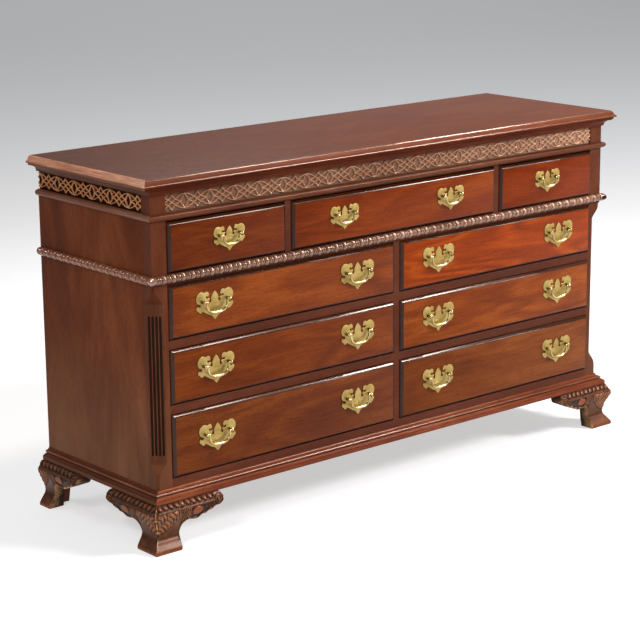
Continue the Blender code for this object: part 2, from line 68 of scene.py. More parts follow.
# Drawers
FRONT_PROUD = 0.008
FRONT_BACK = FRONT + 0.016
FRONT_GAP = 0.0025
BOX_WALL = 0.012
BOX_BOTTOM = 0.010
BOX_HEAD = 0.0135
BOX_END = 0.238
BOX_SIDE_GAP = 0.0015

# Pulls: plate width, distance between the posts, drop of the bail
PULLS = {"large": (0.114, 0.0766, 0.0315), "small": (0.097, 0.0626, 0.0265)}
PIVOT_STANDOFF = 0.0094
PLATE_THICKNESS = 0.0016
BALL_RADIUS = 0.0052
PIN_RADIUS = 0.0016
BAIL_RADIUS = 0.0034


def linear(colour):
    """An sRGB hex colour as linear red, green, blue and alpha."""
    parts = [int(colour[i:i + 2], 16) / 255 for i in (1, 3, 5)]
    return (*[p / 12.92 if p <= 0.04045 else ((p + 0.055) / 1.055) ** 2.4 for p in parts], 1.0)


def plug(tree, node, inputs):
    """Gives a node's inputs their values, or links them to the outputs of other nodes."""
    for key, value in inputs.items():
        if isinstance(value, bpy.types.NodeSocket):
            tree.links.new(value, node.inputs[key])
        else:
            node.inputs[key].default_value = value


def add(tree, kind, inputs, output=0, stops=(), **settings):
    """The output of one new node. Stops are a ramp's places and colours."""
    made = tree.nodes.new("ShaderNode" + kind)
    for name, value in settings.items():
        setattr(made, name, value)
    plug(tree, made, inputs)
    if stops:
        ramp = made.color_ramp
        while len(ramp.elements) < len(stops):
            ramp.elements.new(0.5)
        for element, (place, colour) in zip(ramp.elements, stops):
            element.position = place
            element.color = linear(colour)
    return made.outputs[output]


def blank_material(name):
    """A new material with its node tree, its shader and the place on the piece that its patterns follow."""
    made = bpy.data.materials.new(name)
    made.use_nodes = True
    tree = made.node_tree
    return made, tree, tree.nodes["Principled BSDF"], add(tree, "TexCoord", {}, "Object")


# Finishes
GRAIN_TURN = {"x": (0.0, 0.0, 0.0), "y": (0.0, 0.0, -math.pi / 2), "z": (0.0, math.pi / 2, 0.0)}
# The stain under the lacquer colours what it reflects
STAIN_TINT = linear("#FF9A60")


def lacquered_wood(
    name, tones, grain="x", shift=0.0, mottle=0.7, figure=0.0, streaks=0.4, roughness=0.34, coat=0.05, gloss=0.1,
    change=(),
):
    """Sawn, stained and lacquered mahogany: long tone changes, growth figure, streaks and pores along the grain.

    A change of tone over the whole piece, here painted light and shade, is an axis, where it starts, where it is full,
    its share and its colour.
    """
    made, tree, shader, place = blank_material(name)
    origin = (shift, 0.37 * shift, 0.61 * shift)
    along = add(tree, "Mapping", {"Vector": place, "Rotation": GRAIN_TURN[grain], "Location": origin})
    # Tone changes a hand wide and half a metre long; a slow field whose contour lines are the growth rings, 8 to
    # 20 mm apart; streaks 3 to 6 mm wide; pores, 0.2 mm wide in the real wood, drawn 1 mm wide to show
    broad, field, streak, pores = [
        add(
            tree, "TexNoise",
            {"Vector": add(tree, "Mapping", {"Vector": along, "Scale": (stretch, 1.0, 1.0)}), "Scale": scale,
             "Detail": detail, "Roughness": 0.6, "Distortion": distortion},
        )
        for stretch, scale, detail, distortion in (
            (0.3, 7.0, 4.0, 0.6), (0.2, 5.0, 2.5, 0.4), (0.07, 240.0, 5.0, 0.25), (0.10, 620.0, 1.0, 0.0)
        )
    ]
    rings = add(tree, "Math", {0: field, 1: 62.0}, operation="MULTIPLY")
    rings = add(tree, "Math", {0: rings}, operation="SINE")
    layers = [(broad, 1.5 * mottle), (streak, 1.1 * streaks)]
    # Every layer but the rings has its middle at a half
    value = 0.5 - 0.5 * sum(share for _, share in layers)
    for layer, share in layers + [(rings, 0.16 * figure)]:
        value = add(tree, "Math", {0: layer, 1: share, 2: value}, operation="MULTIPLY_ADD")
    colour = add(tree, "ValToRGB", {0: value}, stops=[*zip((0.12, 0.5, 0.88), tones)])
    pore = add(tree, "MapRange", {"Value": pores, "From Min": 0.56, "From Max": 0.70, "To Max": 0.55})
    colour = add(tree, "Mix", {0: pore, 6: colour, 7: linear(tones[0])}, 2, data_type="RGBA")
    if change:
        axis, start, full, share, tint = change
        level = add(tree, "SeparateXYZ", {0: place}, axis)
        level = add(tree, "MapRange", {"Value": level, "From Min": start, "From Max": full, "To Max": share})
        # Patchy, as the broad tones are; the second factor makes up for their middle of a half
        for factor in (broad, 1.7):
            level = add(tree, "Math", {0: level, 1: factor}, operation="MULTIPLY", use_clamp=True)
        colour = add(tree, "Mix", {0: level, 6: colour, 7: linear(tint)}, 2, data_type="RGBA")
    smooth, rough = roughness - 0.05, roughness + 0.07
    rough = add(
        tree, "MapRange", {"Value": streak, "From Min": 0.3, "From Max": 0.7, "To Min": smooth, "To Max": rough}
    )
    height = add(tree, "Math", {0: pores, 1: -0.35, 2: streak}, operation="MULTIPLY_ADD")
    bump = add(tree, "Bump", {"Height": height, "Strength": 0.2, "Distance": 0.0005})
    # The thin clear coat gives the white lights on the edges
    plug(tree, shader, {
        "Base Color": colour, "Roughness": rough, "Normal": bump, "Specular IOR Level": gloss,
        "Specular Tint": STAIN_TINT, "Coat Weight": coat, "Coat Roughness": 0.12,
    })
    return made


def carved_wood(name, tones):
    """Carved mahogany: painted shade dark in the cuts and lighter on the raised carving, rubbed back to red where
    smooth, and pale on edges as wear and painted highlight.
    """
    made, tree, shader, place = blank_material(name)
    carving = add(tree, "Attribute", {}, attribute_name="carving")
    depth, wear_and_highlight, bareness = add(tree, "SeparateColor", {0: carving}).node.outputs
    blotch = add(tree, "TexNoise", {"Vector": place, "Scale": 55.0, "Detail": 4.0})
    fine = add(tree, "TexNoise", {"Vector": place, "Scale": 420.0, "Detail": 3.0})
    height = add(tree, "Math", {0: blotch, 1: 0.55, 2: depth}, operation="MULTIPLY_ADD")
    shade_in_cuts, middle, bright, worn_and_highlit, rubbed = tones
    # Painted shade by the carving's height: dark in the cuts, lighter on what stands up
    colour = add(tree, "ValToRGB", {0: height}, stops=((0.42, shade_in_cuts), (0.80, middle), (1.0, bright)))
    for mask, low, tint in ((bareness, 0.1, rubbed), (wear_and_highlight, 0.24, worn_and_highlit)):
        mask = add(tree, "Math", {0: mask, 1: blotch}, operation="MULTIPLY")
        mask = add(tree, "MapRange", {"Value": mask, "From Min": low, "From Max": 0.6})
        colour = add(tree, "Mix", {0: mask, 6: colour, 7: linear(tint)}, 2, data_type="RGBA")
    bump = add(tree, "Bump", {"Height": fine, "Strength": 0.25, "Distance": 0.0004})
    plug(tree, shader, {
        "Base Color": colour, "Roughness": 0.38, "Normal": bump, "Specular IOR Level": 0.15,
        "Specular Tint": STAIN_TINT, "Coat Weight": 0.1, "Coat Roughness": 0.16,
    })
    return made


def raw_board(name, tones, grain="y", roughness=0.62):
    """Planed, unpolished board: straight fine grain and small colour flecks, with almost no gloss."""
    made, tree, shader, place = blank_material(name)
    along = add(tree, "Mapping", {"Vector": place, "Rotation": GRAIN_TURN[grain]})
    drawn_out = add(tree, "Mapping", {"Vector": along, "Scale": (0.06, 1.0, 1.0)})
    streak = add(tree, "TexNoise", {"Vector": drawn_out, "Scale": 160.0, "Detail": 4.0})
    broad = add(tree, "TexNoise", {"Vector": along, "Scale": 6.0, "Detail": 2.0})
    value = add(tree, "Math", {0: streak, 1: broad}, operation="ADD")
    value = add(tree, "Math", {0: value, 1: 0.5}, operation="MULTIPLY")
    colour = add(tree, "ValToRGB", {0: value}, stops=[*zip((0.32, 0.5, 0.68), tones)])
    bump = add(tree, "Bump", {"Height": streak, "Strength": 0.3, "Distance": 0.0005})
    plug(tree, shader, {"Base Color": colour, "Roughness": roughness, "Normal": bump})
    return made


def cast_brass(name, tones, roughness, rub):
    """Cast and buffed brass: a warm yellow metal with soft buffing marks and a little brown tarnish."""
    made, tree, shader, place = blank_material(name)
    cloud = add(tree, "TexNoise", {"Vector": place, "Scale": 38.0, "Detail": 3.0})
    colour = add(tree, "ValToRGB", {0: cloud}, stops=[*zip((0.25, 0.5, 0.75), tones)])
    dull, bright = roughness + rub, roughness - rub / 2
    rough = add(
        tree, "MapRange", {"Value": cloud, "From Min": 0.3, "From Max": 0.7, "To Min": dull, "To Max": bright}
    )
    fine = add(tree, "TexNoise", {"Vector": place, "Scale": 700.0, "Detail": 2.0})
    bump = add(tree, "Bump", {"Height": fine, "Strength": 0.06, "Distance": 0.0002})
    plug(tree, shader, {"Base Color": colour, "Metallic": 1.0, "Roughness": rough, "Normal": bump})
    return made


# The top is painted darker towards its left end: painted shade
TOP_WOOD = lacquered_wood(
    "lacquered_mahogany_top", ("#4A220F", "#5F2E16", "#743E21"), mottle=0.45, figure=0.3, streaks=0.3, roughness=0.30,
    coat=0.06, gloss=0.08, change=("X", 0.1, -0.8, 0.5, "#2A1810"),
)
EDGE_WOOD = lacquered_wood(
    "lacquered_mahogany_edge", ("#321108", "#50200F", "#6C3018"), figure=0.2, streaks=0.6, coat=0.0, gloss=0.06
)
ARRIS_WOOD = lacquered_wood(
    "worn_glossy_arris", ("#3A1A0E", "#54301E", "#704A34"), streaks=0.7, roughness=0.22, coat=0.4, gloss=0.2
)
# Drawer lips are painted dark as the shade along the gaps; their coat gives their lights
LIP_SHADE_WOOD = lacquered_wood(
    "shade_dark_glossy_drawer_lips", ("#1C0C06", "#2E150A", "#42200F"), roughness=0.28, coat=0.5, gloss=0.05
)
BASE_WOOD = lacquered_wood(
    "lacquered_mahogany_base", ("#40180A", "#602A14", "#7E4428"), figure=0.1, streaks=0.7, roughness=0.3, coat=0.12
)
BASE_WOOD_SIDE = lacquered_wood(
    "lacquered_mahogany_base_returns", ("#381A0A", "#542812", "#70401F"), grain="y", figure=0.1, streaks=0.6,
    roughness=0.3, coat=0.1,
)
CANT_WOOD = lacquered_wood("shaded_mahogany_cants", ("#3A1E12", "#522E1E", "#6C4634"), grain="z", figure=0.1)
# The top's side edges are painted far paler than its front edge: painted light, with some wear
EDGE_WOOD_SIDE_LIT = lacquered_wood(
    "lit_and_rubbed_mahogany_edge_returns", ("#8A5236", "#B87E62", "#DEB89A"), grain="y", figure=0.3, streaks=1.0, mottle=1.0,
    coat=0.3, gloss=0.3,
)
TRIM_WOOD = lacquered_wood("lacquered_mahogany_mouldings", ("#34180C", "#502816", "#6C402A"), figure=0.1, streaks=0.6)
# The side runs of the mouldings are painted paler and greyer than the front: painted sheen
TRIM_WOOD_SIDE_SHEEN = lacquered_wood(
    "sheen_pale_mahogany_moulding_returns", ("#4A2418", "#704836", "#906A54"), grain="y", figure=0.1, streaks=0.6
)
BEAD_WOOD = lacquered_wood(
    "rubbed_mahogany_beads", ("#46261A", "#74503C", "#A67C64"), streaks=0.5, roughness=0.17, coat=1.0,
    gloss=0.3,
)
BEAD_WOOD_SIDE = lacquered_wood(
    "rubbed_mahogany_bead_returns", ("#522818", "#74422C", "#946A50"), grain="y", streaks=0.5,
    roughness=0.16, coat=1.0, gloss=0.4,
)
# Flutes and the grooves of the waist bead are painted dark as the shade in these recesses
CUT_SHADE_WOOD = lacquered_wood(
    "painted_shade_mahogany_cuts", ("#120806", "#1E100A", "#2E1A10"), grain="z", roughness=0.5
)
# The posts are painted paler and greyer towards the floor: painted reflection of the floor
POST_WOOD = lacquered_wood(
    "lacquered_mahogany_posts", ("#36180C", "#502818", "#663A26"), grain="z", mottle=0.5, figure=0.2, streaks=0.2,
    coat=0.0, gloss=0.07, change=("Z", 0.5, 0.15, 0.3, "#72503A"),
)
RAIL_WOOD = lacquered_wood("lacquered_mahogany_rails", ("#34150C", "#4A2214", "#5E3220"), figure=0.1, roughness=0.4)
# The sides are painted paler and greyer towards the floor: painted reflection of the floor
SIDE_WOOD = lacquered_wood(
    "lacquered_mahogany_sides", ("#34140A", "#582810", "#764022"), grain="z", mottle=0.85, streaks=0.08,
    roughness=0.4, coat=0.0, gloss=0.06, change=("Z", 0.5, 0.15, 0.6, "#72503A"),
)
# The ribs are painted lighter towards the right end: painted light
FRET_WOOD = lacquered_wood(
    "sawn_fret_mahogany", ("#724632", "#9C6C50", "#C29878"), roughness=0.26, coat=0.9, gloss=0.5,
    change=("X", 0.0, 0.8, 0.6, "#D8AE8E"),
)
FRET_WOOD_SIDE = lacquered_wood(
    "sawn_fret_mahogany_returns", ("#8A5430", "#B87C4E", "#DAA878"), grain="y", roughness=0.26, coat=0.7,
    gloss=0.3,
)
# The ground is painted lighter towards the right end: painted light
FRET_GROUND = lacquered_wood(
    "shaded_fret_ground", ("#40291F", "#604636", "#7C5E4C"), roughness=0.5, gloss=0.3,
    change=("X", 0.0, 0.8, 0.9, "#9A745C"),
)
FRET_GROUND_SIDE = lacquered_wood(
    "shaded_fret_ground_returns", ("#0C0604", "#160C07", "#22140C"), grain="y", roughness=0.65, coat=0.0
)
# Tones: painted shade in the cuts, middle, light on the raised carving, pale wear and painted highlight, rubbed red
CARVED = carved_wood("carved_mahogany", ("#1A0D08", "#4C2C1A", "#7E5034", "#C29A6A", "#74381A"))
BOX_WOOD = raw_board("planed_maple_drawer_sides", ("#8A6A48", "#A98A62", "#BE9F76"))
BOTTOM_WOOD = raw_board("planed_board_drawer_bottoms", ("#8E6E4A", "#A88760", "#BA9A70"), grain="x")
BACK_WOOD = raw_board("planed_backing_board", ("#5E4128", "#7A5838", "#8E6A46"), grain="x", roughness=0.7)
# Each front keeps its own board's tone; the right-hand fronts are also painted lighter than the left-hand ones, as
# painted light
FRONT_TONES = {
    "bottom_left": ("#371307", "#55250D", "#713B14"),
    "bottom_right": ("#411907", "#5F2C0D", "#784115"),
    "middle_left": ("#3C1304", "#5C2608", "#7A3C0E"),
    "middle_right": ("#471807", "#6C2F0B", "#8A4613"),
    "top_left": ("#421506", "#662C0C", "#814015"),
    "top_right": ("#521803", "#7E2F05", "#9E490B"),
    "upper_left": ("#330F04", "#511D05", "#6A2F0B"),
    "upper_centre": ("#431404", "#652607", "#813B0C"),
    "upper_right": ("#400F02", "#632103", "#7D3206"),
}
FIGURED_FRONTS = ("top_right", "middle_right", "top_left")
PLATE_BRASS = cast_brass("cast_brass_plates", ("#8F7741", "#A28A50", "#B19A64"), 0.5, 0.06)
BAIL_BRASS = cast_brass("polished_brass_bails", ("#8C7646", "#B49E6A", "#D6C698"), 0.24, 0.05)
# Dark brass on the posts' stems and the plates' rims: painted shade round the balls and along the plates' edges
SHADE_DARK_BRASS = cast_brass("painted_shade_brass", ("#3A2C14", "#54421F", "#6E5A30"), 0.5, 0.06)


# Making pieces
def placed(name, data):
    """An object of its data, linked into the scene."""
    made = bpy.data.objects.new(name, data)
    bpy.context.scene.collection.objects.link(made)
    return made


def mesh_of(name, bm):
    """A mesh from a bmesh, which is used up."""
    mesh = bpy.data.meshes.new(name)
    bm.to_mesh(mesh)
    bm.free()
    return mesh


def show(name, bm, materials, stands_for, body="case", crease=32):
    """Makes a piece of the dresser from a bmesh. Edges sharper than the crease angle stay sharp."""
    mesh = mesh_of(name, bm)
    for material in materials:
        mesh.materials.append(material)
    mesh.shade_smooth()
    mesh.set_sharp_from_angle(angle=math.radians(crease))
    made = placed(name, mesh)
    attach(made, body)
    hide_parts(stands_for)


def solid_from(bm):
    """Welds what meets, fills open ends and turns every face outwards."""
    bmesh.ops.remove_doubles(bm, verts=bm.verts, dist=1e-6)
    bmesh.ops.holes_fill(bm, edges=bm.edges)
    bmesh.ops.recalc_face_normals(bm, faces=bm.faces)
    return bm


def block(x, y, z):
    """A box from its three (low, high) spans."""
    bm = bmesh.new()
    spans = [sorted(span) for span in (x, y, z)]
    size = Matrix.Diagonal([high - low for low, high in spans] + [1.0])
    centre = Matrix.Translation([(low + high) / 2 for low, high in spans])
    bmesh.ops.create_cube(bm, size=1.0, matrix=centre @ size)
    return bm


def skin(rings, marks=()):
    """A closed skin through rings of equally many points, with both ends filled.

    Marks are the value of each point's "carving" attribute.
    """
    bm = bmesh.new()
    columns, last = len(rings[0]), len(rings) - 1
    bmesh.ops.create_grid(bm, x_segments=columns, y_segments=last, size=0.5)
    layer = bm.verts.layers.float_color.new("carving") if marks else None
    for vert in bm.verts:
        column, row = round((vert.co.x + 0.5) * columns) % columns, round((vert.co.y + 0.5) * last)
        vert.co = rings[row][column]
        if marks:
            vert[layer] = marks[row][column]
    return solid_from(bm)


def paint(bm, pick):
    """Gives each face the material whose number a function picks from the face's middle and normal."""
    for face in bm.faces:
        face.material_index = int(pick(face.calc_center_median(), face.normal))
    return bm


def together(*parts):
    """Several bmeshes as one, the others used up."""
    whole = parts[0]
    for part in parts[1:]:
        mesh = mesh_of("part", part)
        whole.from_mesh(mesh)
        bpy.data.meshes.remove(mesh)
    return whole


def combined(target, other, operation):
    """One exact Boolean of two bmeshes, both used up."""
    operands = [placed("operand", mesh_of("operand", bm)) for bm in (target, other)]
    step = operands[0].modifiers.new("step", "BOOLEAN")
    step.operation = operation
    step.solver = "EXACT"
    step.object = operands[1]
    bpy.context.view_layer.update()
    evaluated = operands[0].evaluated_get(bpy.context.evaluated_depsgraph_get())
    result = bmesh.new()
    result.from_mesh(evaluated.to_mesh())
    evaluated.to_mesh_clear()
    for operand in operands:
        bpy.data.meshes.remove(operand.data)
    bmesh.ops.remove_doubles(result, verts=result.verts, dist=1e-6)
    return result


def moved(bm, shift):
    """A copy of a bmesh, moved."""
    copy = bm.copy()
    bmesh.ops.translate(copy, verts=copy.verts, vec=shift)
    return copy


def flipped(bm):
    """The same bmesh mirrored left to right."""
    bmesh.ops.scale(bm, verts=bm.verts, vec=(-1.0, 1.0, 1.0))
    bmesh.ops.reverse_faces(bm, faces=bm.faces)
    return bm


def arc(centre, radius, start, end, steps):
    """Points of an arc in degrees, ends included."""
    angles = [math.radians(start + (end - start) * i / steps) for i in range(steps + 1)]
    return [(centre[0] + radius[0] * math.cos(a), centre[1] + radius[1] * math.sin(a)) for a in angles]


def flowing(points, steps):
    """A smooth line through points, with steps to each stretch."""
    line = []
    ends = [points[0]] + list(points) + [points[-1]]
    for before, start, end, after in zip(ends, ends[1:], ends[2:], ends[3:]):
        for i in range(steps):
            t = i / steps
            line.append(tuple(
                0.5 * (2 * q + (r - p) * t + (2 * p - 5 * q + 4 * r - s) * t * t + (3 * q - p - 3 * r + s) * t ** 3)
                for p, q, r, s in zip(before, start, end, after)
            ))
    return line + [tuple(points[-1])]


def value_at(line, place):
    """The second value of a line of pairs at a place along the first, which only grows."""
    if place <= line[0][0]:
        return line[0][1]
    for (a, start), (b, end) in zip(line, line[1:]):
        if place <= b:
            return start + (end - start) * (place - a) / max(b - a, 1e-9)
    return line[-1][1]


def on_return(centre):
    """Whether a place on a moulding is on one of its side runs."""
    return abs(centre.x) - HALF > FRONT - centre.y


def case_moulding(section):
    """A section of (reach, height) points, taken round the left, front and right of the case with mitres."""
    moulding = skin([
        [(side * (HALF + reach), FRONT - reach if at_front else BACK, height) for reach, height in section]
        for side, at_front in ((-1, False), (-1, True), (1, True), (1, False))
    ])
    return paint(moulding, lambda centre, normal: on_return(centre))


# Top board with its bed moulding
def build_top():
    side, front = HALF + 0.034, FRONT - 0.027
    edge, thickness = 0.012, TOP - SLAB_BOTTOM
    nose, nose_radius, nose_middle = 0.46 * thickness, 0.0036, 0.0028
    lip = 0.2 * thickness
    hollow_inset, hollow_top = 0.16 * edge, 0.0040
    # Insets and heights from the bottom up: a lip, a hollow, a rounded nose, a narrow ledge with a slope, and an arris
    # that wear has rounded
    steps = [(0.5 * edge, 0.0), (0.5 * edge, lip), (hollow_inset, 1.2 * lip)]
    steps += arc((hollow_inset, nose - hollow_top), (-hollow_inset, hollow_top + 1.2 * lip - nose), 90, 0, 6)[1:]
    steps += [(nose_radius - x, z) for x, z in arc((0.0, nose - nose_middle), (nose_radius, nose_radius), 0, 84, 9)]
    steps += [(inset, nose + rise) for inset, rise in ((0.0042, 0.0010), (0.0050, 0.0022))]
    steps += [
        (edge + past, thickness - below)
        for past, below in ((-0.0046, 0.0056), (-0.0040, 0.0044), (-0.0023, 0.0025), (-0.0007, 0.0010),
                            (0.0006, 0.0003), (0.0020, 0.0))
    ]
    slab = skin([
        [(-side + inset, front + inset, SLAB_BOTTOM + height), (side - inset, front + inset, SLAB_BOTTOM + height),
         (side - inset, BACK, SLAB_BOTTOM + height), (-side + inset, BACK, SLAB_BOTTOM + height)]
        for inset, height in steps
    ])
    arris_start, ledge_start, ledge_end, returns_start = thickness - 0.0046, nose - 0.0026, nose + 0.0009, nose - 0.0015

    def pick(centre, normal):
        up = centre.z - SLAB_BOTTOM
        if normal.z > 0.99 and centre.z > TOP - 0.0005:
            return 0
        if abs(centre.x) - side > front - centre.y:
            # Side edges: the painted light above, the side runs' painted sheen below
            return 4 if up < returns_start else 2
        return 3 if up > arris_start or ledge_start < up < ledge_end else 1

    finishes = (TOP_WOOD, EDGE_WOOD, EDGE_WOOD_SIDE_LIT, ARRIS_WOOD, TRIM_WOOD_SIDE_SHEEN)
    show("moulded_top", paint(slab, pick), finishes, "top_board")

    reach, rise, fillet = 0.022, SLAB_BOTTOM - COVE_BOTTOM, 0.002
    hollow = arc((reach, COVE_BOTTOM), (-0.8 * reach, rise - fillet), 0, 90, 14)
    section = [(GAP, COVE_BOTTOM)] + hollow + [(reach - 0.001, SLAB_BOTTOM - fillet), (reach, SLAB_BOTTOM - GAP)]
    section += [(GAP, SLAB_BOTTOM - GAP)]
    show("bed_moulding", case_moulding(section), (EDGE_WOOD, RAIL_WOOD), "top_board")


# Corner posts
def eased(share):
    """0 to 1, slow at both ends."""
    return (1 - math.cos(math.pi * share)) / 2


def build_posts():
    cant, foot_stop, head_stop = 0.029, 0.047, 0.045
    foot, head = BOTTOM_SILL + foot_stop, WAIST_BOTTOM - head_stop
    # The stops leave a narrow neck, which runs on down to the base
    neck = 0.0055
    steps = 40
    shares = [i / steps for i in range(steps + 1)]
    heights = [foot - foot_stop * (1 - s) for s in shares] + [head + head_stop * s for s in shares]
    depths = [neck + (cant - neck) * eased(s) ** 1.8 for s in shares]
    clear = cant / 2
    flute_low, flute_high = foot + 0.014, head - 0.028
    # Four flutes with round ends, their centres a little in front of the cant
    flutes, flute_pitch, flute_radius, flute_lift = 4, 0.009, 0.0032, 0.0008
    stretch = (flute_high - flute_low) / 2 - flute_radius
    lift = flute_lift / math.sqrt(2)

    def pick(centre, normal):
        below_cant = (HALF - abs(centre.x) + centre.y - FRONT - cant) / math.sqrt(2)
        if not flute_low < centre.z < flute_high:
            return 0
        in_flute, on_cant = 0.0004 < below_cant < 0.004, abs(normal.x * normal.y) > 0.1
        # Flutes take the painted shade; cants take their shaded finish
        return 1 if in_flute else 2 if on_cant else 0

    for side, name in ((-1, "left"), (1, "right")):
        post = block((side * (POST_INNER + GAP), side * HALF), (FRONT, POST_BACK), (FOOT_HEIGHT, SLAB_BOTTOM - GAP))
        far, near = side * (HALF + clear), FRONT - clear
        post = combined(post, skin([
            [(far, near, height), (side * (HALF - depth - clear), near, height), (far, FRONT + depth + clear, height)]
            for height, depth in [(BASE_TOP - 0.001, neck)] + list(zip(heights, depths + depths[::-1]))
        ]), "DIFFERENCE")
        cutter = bmesh.new()
        for i in range(flutes):
            along = (i - (flutes - 1) / 2) * flute_pitch / math.sqrt(2)
            made = bmesh.ops.create_uvsphere(cutter, u_segments=20, v_segments=11, radius=flute_radius)
            for vert in made["verts"]:
                vert.co.z += math.copysign(stretch, vert.co.z)
            shift = (side * (HALF - clear - along + lift), FRONT + clear - along - lift, (flute_low + flute_high) / 2)
            bmesh.ops.translate(cutter, verts=made["verts"], vec=shift)
        post = paint(combined(post, cutter, "DIFFERENCE"), pick)
        show(f"fluted_{name}_post", post, (POST_WOOD, CUT_SHADE_WOOD, CANT_WOOD), f"{name}_corner_post")


# Mouldings
def build_mouldings():
    reach, height = 0.0104, 0.017
    bottom = FRIEZE_BOTTOM - height
    nose, inner, fillet = bottom + 0.56 * height, 0.2 * reach, 0.0011
    torus = arc((inner, nose), (reach - inner, nose - bottom - fillet), -90, 0, 8)
    torus += arc((inner, nose), (reach - inner, FRIEZE_BOTTOM - fillet - nose), 0, 90, 8)[1:]
    section = [(GAP, bottom), (inner, bottom)] + torus + [(inner, FRIEZE_BOTTOM), (GAP, FRIEZE_BOTTOM)]
    # The torus's side runs take the painted sheen
    show("frieze_torus", case_moulding(section), (TRIM_WOOD, TRIM_WOOD_SIDE_SHEEN), "frieze_moulding")

    reach, rise = 0.0206, BASE_TOP - FOOT_HEIGHT
    fascia, ledge = FOOT_HEIGHT + 0.36 * rise, FOOT_HEIGHT + 0.53 * rise
    hollow = arc((reach, ledge), (-0.42 * reach, fascia - ledge), 90, 4, 10)[::-1]
    bead = arc((0.3 * reach, ledge + 0.12 * rise), (0.28 * reach, 0.12 * rise), -90, 90, 12)
    crown = arc((0.3 * reach, BASE_TOP), (-0.3 * reach + GAP, -0.2 * rise), 90, 0, 10)
    low = [(GAP, FOOT_HEIGHT + GAP), (reach - 0.0008, FOOT_HEIGHT + GAP), (reach, FOOT_HEIGHT + 0.0011)]
    section = low + [(reach, fascia - 0.0006)] + hollow + bead[1:] + crown[1:]
    bead_low, bead_high = ledge + 0.03 * rise, ledge + 0.22 * rise

    def pick(centre, normal):
        on_bead = bead_low < centre.z < bead_high and abs(normal.z) < 0.95
        # The bead's side runs take the painted sheen of the moulding returns
        return on_return(centre) + 2 * on_bead

    finishes = (BASE_WOOD, BASE_WOOD_SIDE, ARRIS_WOOD, TRIM_WOOD_SIDE_SHEEN)
    show("base_surround", paint(case_moulding(section), pick), finishes, "base_moulding")


# Waist bead, carved across into long beads with two narrow reels between them. Shares are of one pitch, and of the
# bead's full radius
BEAD_PITCH = 0.0285
BEAD_SHARE = 0.54
REEL_SHARE = 0.23
CUT_RADIUS = 0.66
BEAD_SPOTS = (0.0, 0.03, 0.09, 0.18, 0.27, 0.36, 0.45, 0.51, 0.54, 0.57, 0.61, 0.70, 0.74, 0.77, 0.80, 0.84, 0.93, 0.97)


def bead_swell(place):
    """The bead's radius as a share of its full one, at a place along it."""
    spot = (place / BEAD_PITCH) % 1.0
    if spot < BEAD_SHARE:
        return CUT_RADIUS + 0.34 * math.sqrt(max(0.0, 1 - ((spot - BEAD_SHARE / 2) / 0.272) ** 2))
    reel = ((spot - BEAD_SHARE) / REEL_SHARE) % 1.0
    return CUT_RADIUS + 0.28 * math.sqrt(max(0.0, 1 - ((reel - 0.5) / 0.5) ** 2))


def build_waist_bead():
    radius, reach, corner_gap, back_gap = 0.011, 0.0145, 0.004, 0.001
    middle = UPPER_SILL - radius
    length, depth = 2 * HALF, BACK - FRONT
    # A bead's middle lies on each front corner
    start = BEAD_SHARE / 2 * BEAD_PITCH

    def section(place):
        swell = radius * bead_swell(place)
        face = arc((reach - radius, middle), (swell, swell), -90, 90, 12)
        return [(GAP, face[0][1])] + face + [(GAP, face[-1][1])]

    def places(run, far_gap):
        every = [k * BEAD_PITCH + s * BEAD_PITCH for k in range(int(run / BEAD_PITCH) + 1) for s in BEAD_SPOTS]
        return [place for place in every if corner_gap < place < run - far_gap]

    # Each ring's x and how its reach goes along x, the same for y, and its place on the bead
    flank = [(FRONT + p, 0, p + start) for p in places(depth, back_gap)]
    flank = [(FRONT, -1, start), *flank, (BACK, 0, depth)]
    front = [(-HALF + p, 0, FRONT, -1, p + start) for p in places(length, corner_gap)]
    stations = [(-HALF, -1, *spot) for spot in flank[::-1]] + front + [(HALF, 1, *spot) for spot in flank]
    bead = skin([
        [(x + out * r, y + forward * r, h) for r, h in section(place)]
        for x, out, y, forward, place in stations
    ])

    def pick(centre, normal):
        place = centre.y - FRONT if on_return(centre) else centre.x + HALF
        # Grooves between beads and reels take the painted shade
        in_cut = bead_swell(place + start) < 0.82
        return 2 if in_cut else on_return(centre)

    finishes = (BEAD_WOOD, BEAD_WOOD_SIDE, CUT_SHADE_WOOD)
    show("carved_waist_bead", paint(bead, pick), finishes, "waist_moulding", crease=50)


# Frets: two families of waved ribs that cross into ovals and lattice, one repeat every 75.8 mm
FRET_REPEAT = 0.0758
FRET_SWING = 0.0175
FRET_HALF_HEIGHT = 0.0226
FRET_THICKNESS = 0.006
FRET_GROUND_DEPTH = 0.0042
FRONT_RIB, SIDE_RIB = 0.0017, 0.0015
SIDE_FRET_MIDDLE = -0.0533
# Second family, in millimetres from the middle of the oval: a leaf-shaped eye, then out to the next peak
FRET_BRANCH = flowing([(0.0, -17.5), (4.0, -12.4), (8.6, -6.4), (10.9, -0.4), (15.2, 1.6), (21.0, 3.6), (27.6, 7.4),
                       (33.0, 12.2), (37.9, 17.5)], 5)


def fret_rib(line, half_width):
    """A rib along a line of (along, up) points, eased on top and let into the ground."""
    root = FRET_GROUND_DEPTH + 0.0008
    section = ((-1.0, root), (-1.0, GAP + 0.0022), (-0.62, GAP + 0.0007), (0.0, GAP), (0.62, GAP + 0.0007),
               (1.0, GAP + 0.0022), (1.0, root))
    rings = []
    for i, (along, up) in enumerate(line):
        before, after = line[max(i - 1, 0)], line[min(i + 1, len(line) - 1)]
        away = Vector((before[1] - after[1], after[0] - before[0])).normalized()
        rings.append([
            (along + away.x * half_width * share, depth, up + away.y * half_width * share) for share, depth in section
        ])
    return skin(rings)


